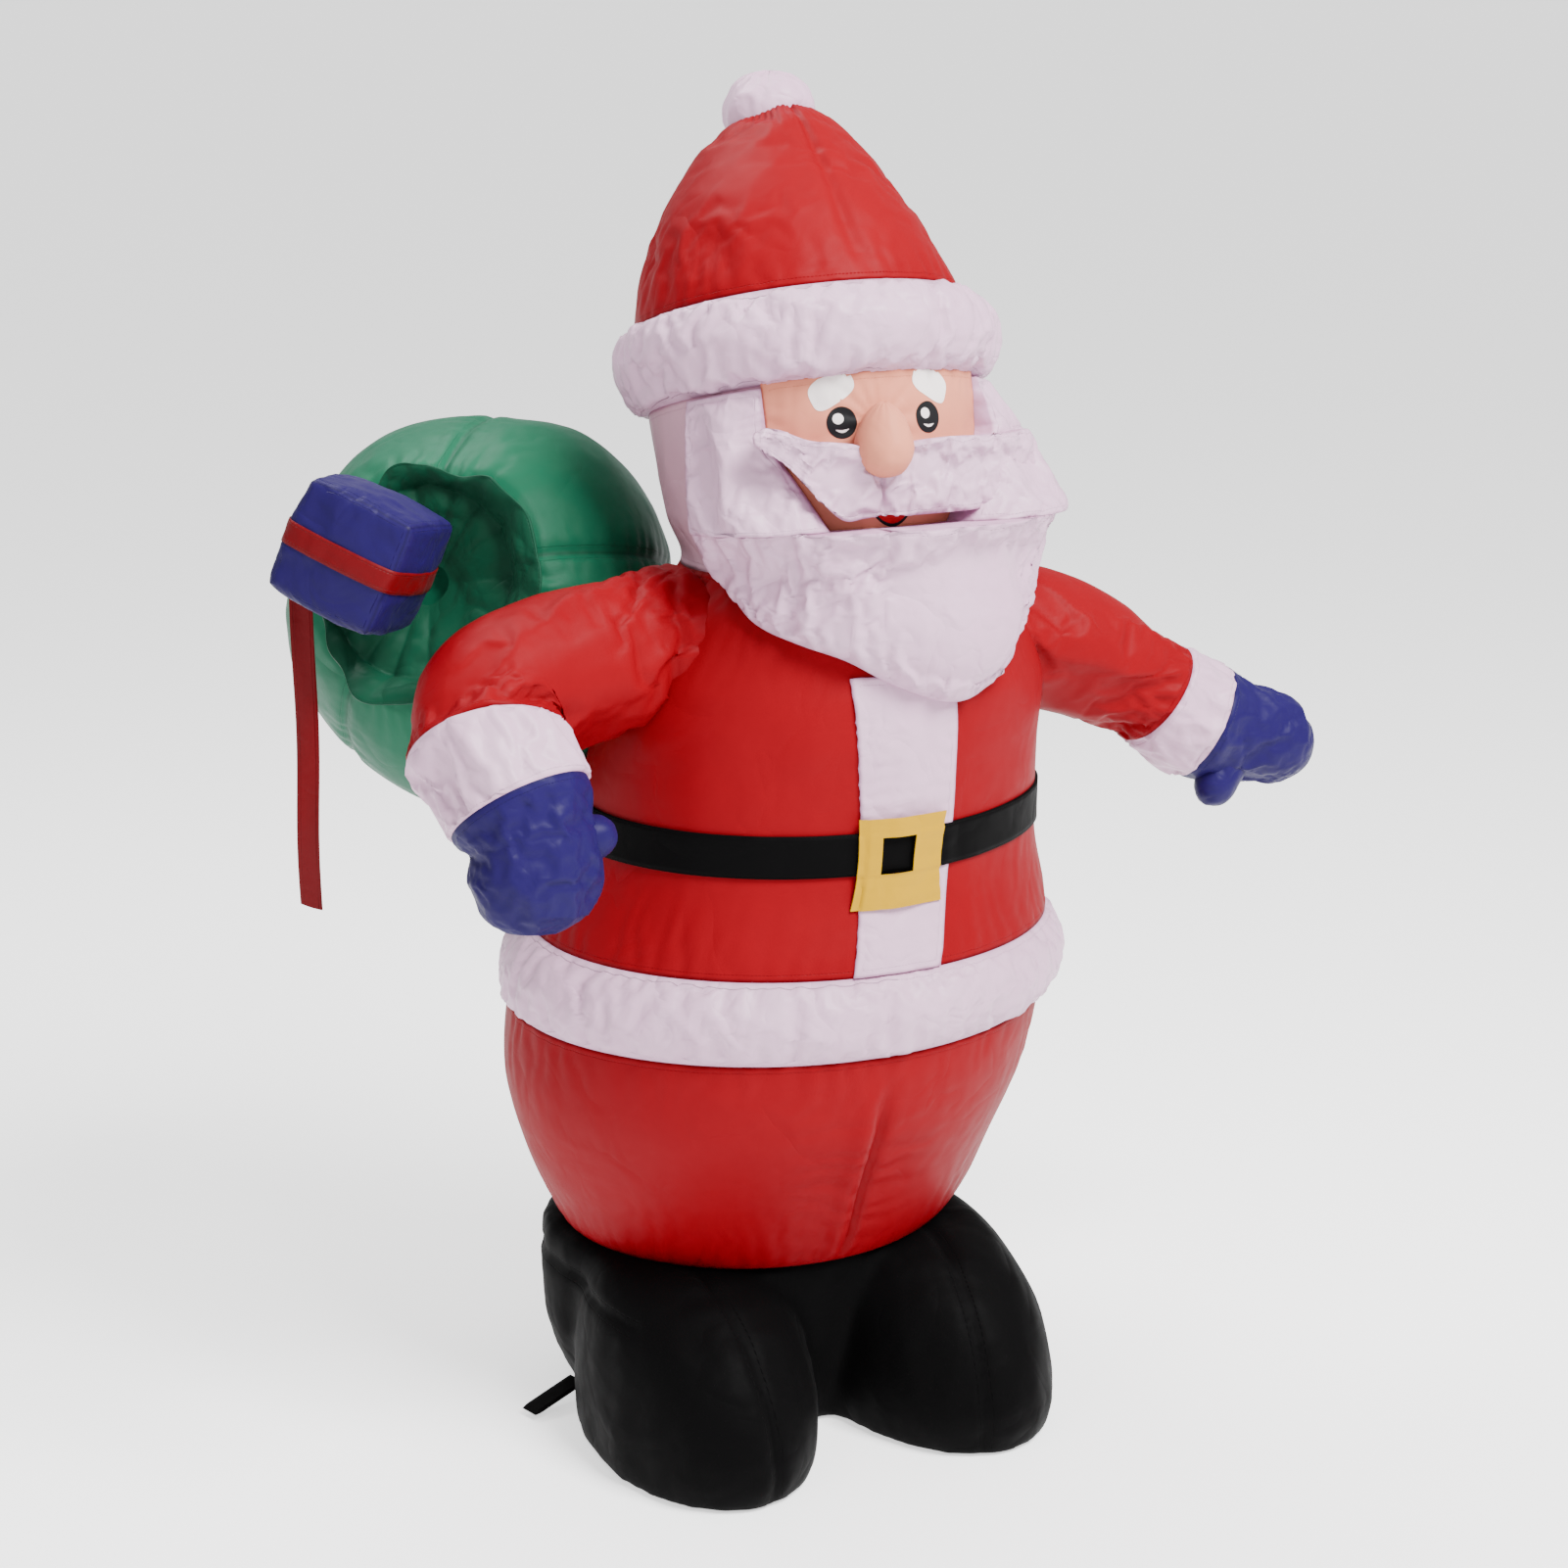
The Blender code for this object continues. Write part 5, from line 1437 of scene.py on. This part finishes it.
class SANTA_OT_boots(bpy.types.Operator):
    """Boots and tether strap"""
    bl_idname = "santa.boots"
    bl_label = "Boots"

    def execute(self, context):
        source = NODES["boots"]
        thing = bpy.data.objects.new("boots_cloth", source.data.copy())
        thing.data.materials.clear()
        bpy.context.scene.collection.objects.link(thing)
        step = thing.modifiers.new("even", "REMESH")
        step.mode = "VOXEL"
        step.voxel_size = BOOT_CELL
        step = thing.modifiers.new("soft", "SMOOTH")
        step.factor = 0.5
        step.iterations = 14
        done = thing.evaluated_get(bpy.context.evaluated_depsgraph_get())
        mesh = bpy.data.meshes.new_from_object(done)
        bpy.data.objects.remove(thing, do_unlink=True)
        spots, way = vertex_rows(mesh, "co"), vertex_rows(mesh, "normal")
        low = np.clip(spots[:, 2] / 0.02, 0, 1)
        off = crumple(spots, 0.09, 0.0035, 161)
        seam = np.full(len(spots), NO_SEAM)
        for middle, normal, most in BOOT_SEAMS:
            away = np.abs((spots - np.array(middle)) @ np.array(Vector(normal).normalized()))
            mask = np.clip((most - np.linalg.norm(spots - np.array(middle), axis=1)) / 0.02, 0, 1)
            off = off - 0.004 * np.exp(-(away / 0.005)**1.5) * mask
            off = off + gathers((spots[:, 0] + spots[:, 2]) / 0.02, spots, away, 0.02, 0.002, 162) * mask
            seam = np.where(mask > 0.5, np.minimum(seam, away), seam)
        spots = spots + way * (off * low)[:, None]
        spots[:, 2] = np.maximum(spots[:, 2], 0.0)
        mesh.vertices.foreach_set("co", spots.ravel())
        flat = np.stack([spots[:, 0] + 0.7 * spots[:, 1], spots[:, 2] - 0.5 * spots[:, 1]], -1)
        mark_cloth(mesh, flat, seam)
        mesh.shade_smooth()
        boots = place("boots_cloth", mesh, "black", "boots")
        self.tether()
        return {"FINISHED"}

    def tether(self):
        """A webbing loop, pressed flat, at the outer side of the right boot."""
        out = np.array(Vector((-0.90, -0.25, -0.25)).normalized())
        across = np.array(Vector((0.25, -0.80, 0.0)).normalized())
        up = np.cross(out, across)
        share = np.linspace(-0.15, 1, 40)[:, None]
        wide = np.linspace(-0.5, 0.5, 7)[None, :]
        middle = (TETHER_ROOT + out * (TETHER_LENGTH * share + 0 * wide)[..., None]
                  + across * (TETHER_WIDTH * wide + 0 * share)[..., None])
        thick = up * (TETHER_HALF * np.clip((1 - share) * 8, 0, 1) + 0 * wide)[..., None]
        skin = np.concatenate([middle + thick, (middle - thick)[:, ::-1]], 1)
        thing = build("tether_strap_cloth", skin, True, "black", "tether_strap", NO_SEAM)
        outward(thing)


# Stage
CAMERA_TURN = radians(-25.0)
CAMERA_AWAY = 2.60
CAMERA_HEIGHT = 1.27
CAMERA_PITCH = radians(15.0)
CAMERA_LENS = 68.36
FLOOR_PALE = 0.90
FLOOR_GLOW = 0.95
SKY_GLOW = 0.85
# Rows: name, size, watts, place, what it points at
LAMPS = (
    ("key", (1.4, 1.4), 300, (0.75, -1.9, 3.05), (0, 0, 0.9)),
    ("fill", (1.4, 2.0), 18, (-2.6, -1.6, 1.6), (0, 0, 0.6)),
    ("rim", (1.3, 1.0), 60, (-0.5, 1.1, 2.8), (-0.2, 0.1, 0.8)),
)


def lamp(name, size, power, spot, target):
    """A soft lamp pointing at a place on the figure."""
    light = bpy.data.lights.new(name, "AREA")
    light.shape = "RECTANGLE"
    light.size, light.size_y = size
    light.energy = power
    thing = bpy.data.objects.new(name, light)
    thing.location = spot
    thing.rotation_euler = (Vector(target) - Vector(spot)).to_track_quat("-Z", "Y").to_euler()
    bpy.context.scene.collection.objects.link(thing)


class SANTA_OT_stage(bpy.types.Operator):
    """Floor, lights and camera"""
    bl_idname = "santa.stage"
    bl_label = "Stage"

    def execute(self, context):
        shape = bmesh.new()
        bmesh.ops.create_circle(shape, cap_ends=True, segments=96, radius=300.0)
        mesh = bpy.data.meshes.new("floor")
        shape.to_mesh(mesh)
        shape.free()
        floor = bpy.data.objects.new("floor", mesh)
        floor.location = (0, 0, -0.0005)
        context.scene.collection.objects.link(floor)
        pale = bpy.data.materials.new("floor_pale")
        pale.use_nodes = True
        shader = pale.node_tree.nodes["Principled BSDF"]
        shader.inputs["Base Color"].default_value = (FLOOR_PALE, FLOOR_PALE, FLOOR_PALE, 1.0)
        shader.inputs["Roughness"].default_value = 0.9
        shader.inputs["Emission Color"].default_value = (1.0, 1.0, 1.0, 1.0)
        shader.inputs["Emission Strength"].default_value = FLOOR_GLOW
        mesh.materials.append(pale)
        world = bpy.data.worlds.new("studio")
        world.use_nodes = True
        sky = world.node_tree.nodes["Background"]
        sky.inputs["Color"].default_value = (1.0, 1.0, 1.0, 1.0)
        sky.inputs["Strength"].default_value = SKY_GLOW
        context.scene.world = world
        for row in LAMPS:
            lamp(*row)
        lens = bpy.data.cameras.new("camera")
        lens.sensor_width = 36.0
        lens.lens = CAMERA_LENS
        view = bpy.data.objects.new("camera", lens)
        view.location = (sin(CAMERA_TURN) * CAMERA_AWAY, -cos(CAMERA_TURN) * CAMERA_AWAY,
                         CAMERA_HEIGHT)
        view.rotation_euler = (pi / 2 - CAMERA_PITCH, 0, CAMERA_TURN)
        context.scene.collection.objects.link(view)
        context.scene.camera = view
        return {"FINISHED"}


STEPS = ("stage", "boots", "trunk", "strips", "arms", "hat", "head", "beard", "sack", "gift")


class SANTA_PT_panel(bpy.types.Panel):
    """Lists the figure's pieces and looks"""
    bl_label = "Inflatable Santa"
    bl_idname = "SANTA_PT_panel"
    bl_space_type = "VIEW_3D"
    bl_region_type = "UI"
    bl_category = "Santa"

    def draw(self, context):
        looks = context.scene.santa_looks
        for name in looks.bl_rna.properties.keys():
            if name not in ("rna_type", "name"):
                self.layout.prop(looks, name)
        for step in STEPS:
            self.layout.operator("santa." + step)


CLASSES = (SantaLooks, SANTA_OT_stage, SANTA_OT_boots, SANTA_OT_trunk, SANTA_OT_strips,
           SANTA_OT_arms, SANTA_OT_hat, SANTA_OT_head, SANTA_OT_beard, SANTA_OT_sack,
           SANTA_OT_gift, SANTA_PT_panel)


def register():
    for item in CLASSES:
        bpy.utils.register_class(item)
    bpy.types.Scene.santa_looks = PointerProperty(type=SantaLooks)


def unregister():
    del bpy.types.Scene.santa_looks
    for item in reversed(CLASSES):
        bpy.utils.unregister_class(item)


def main():
    register()
    for step in STEPS:
        getattr(bpy.ops.santa, step)()
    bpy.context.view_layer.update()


if __name__ == "__main__":
    main()
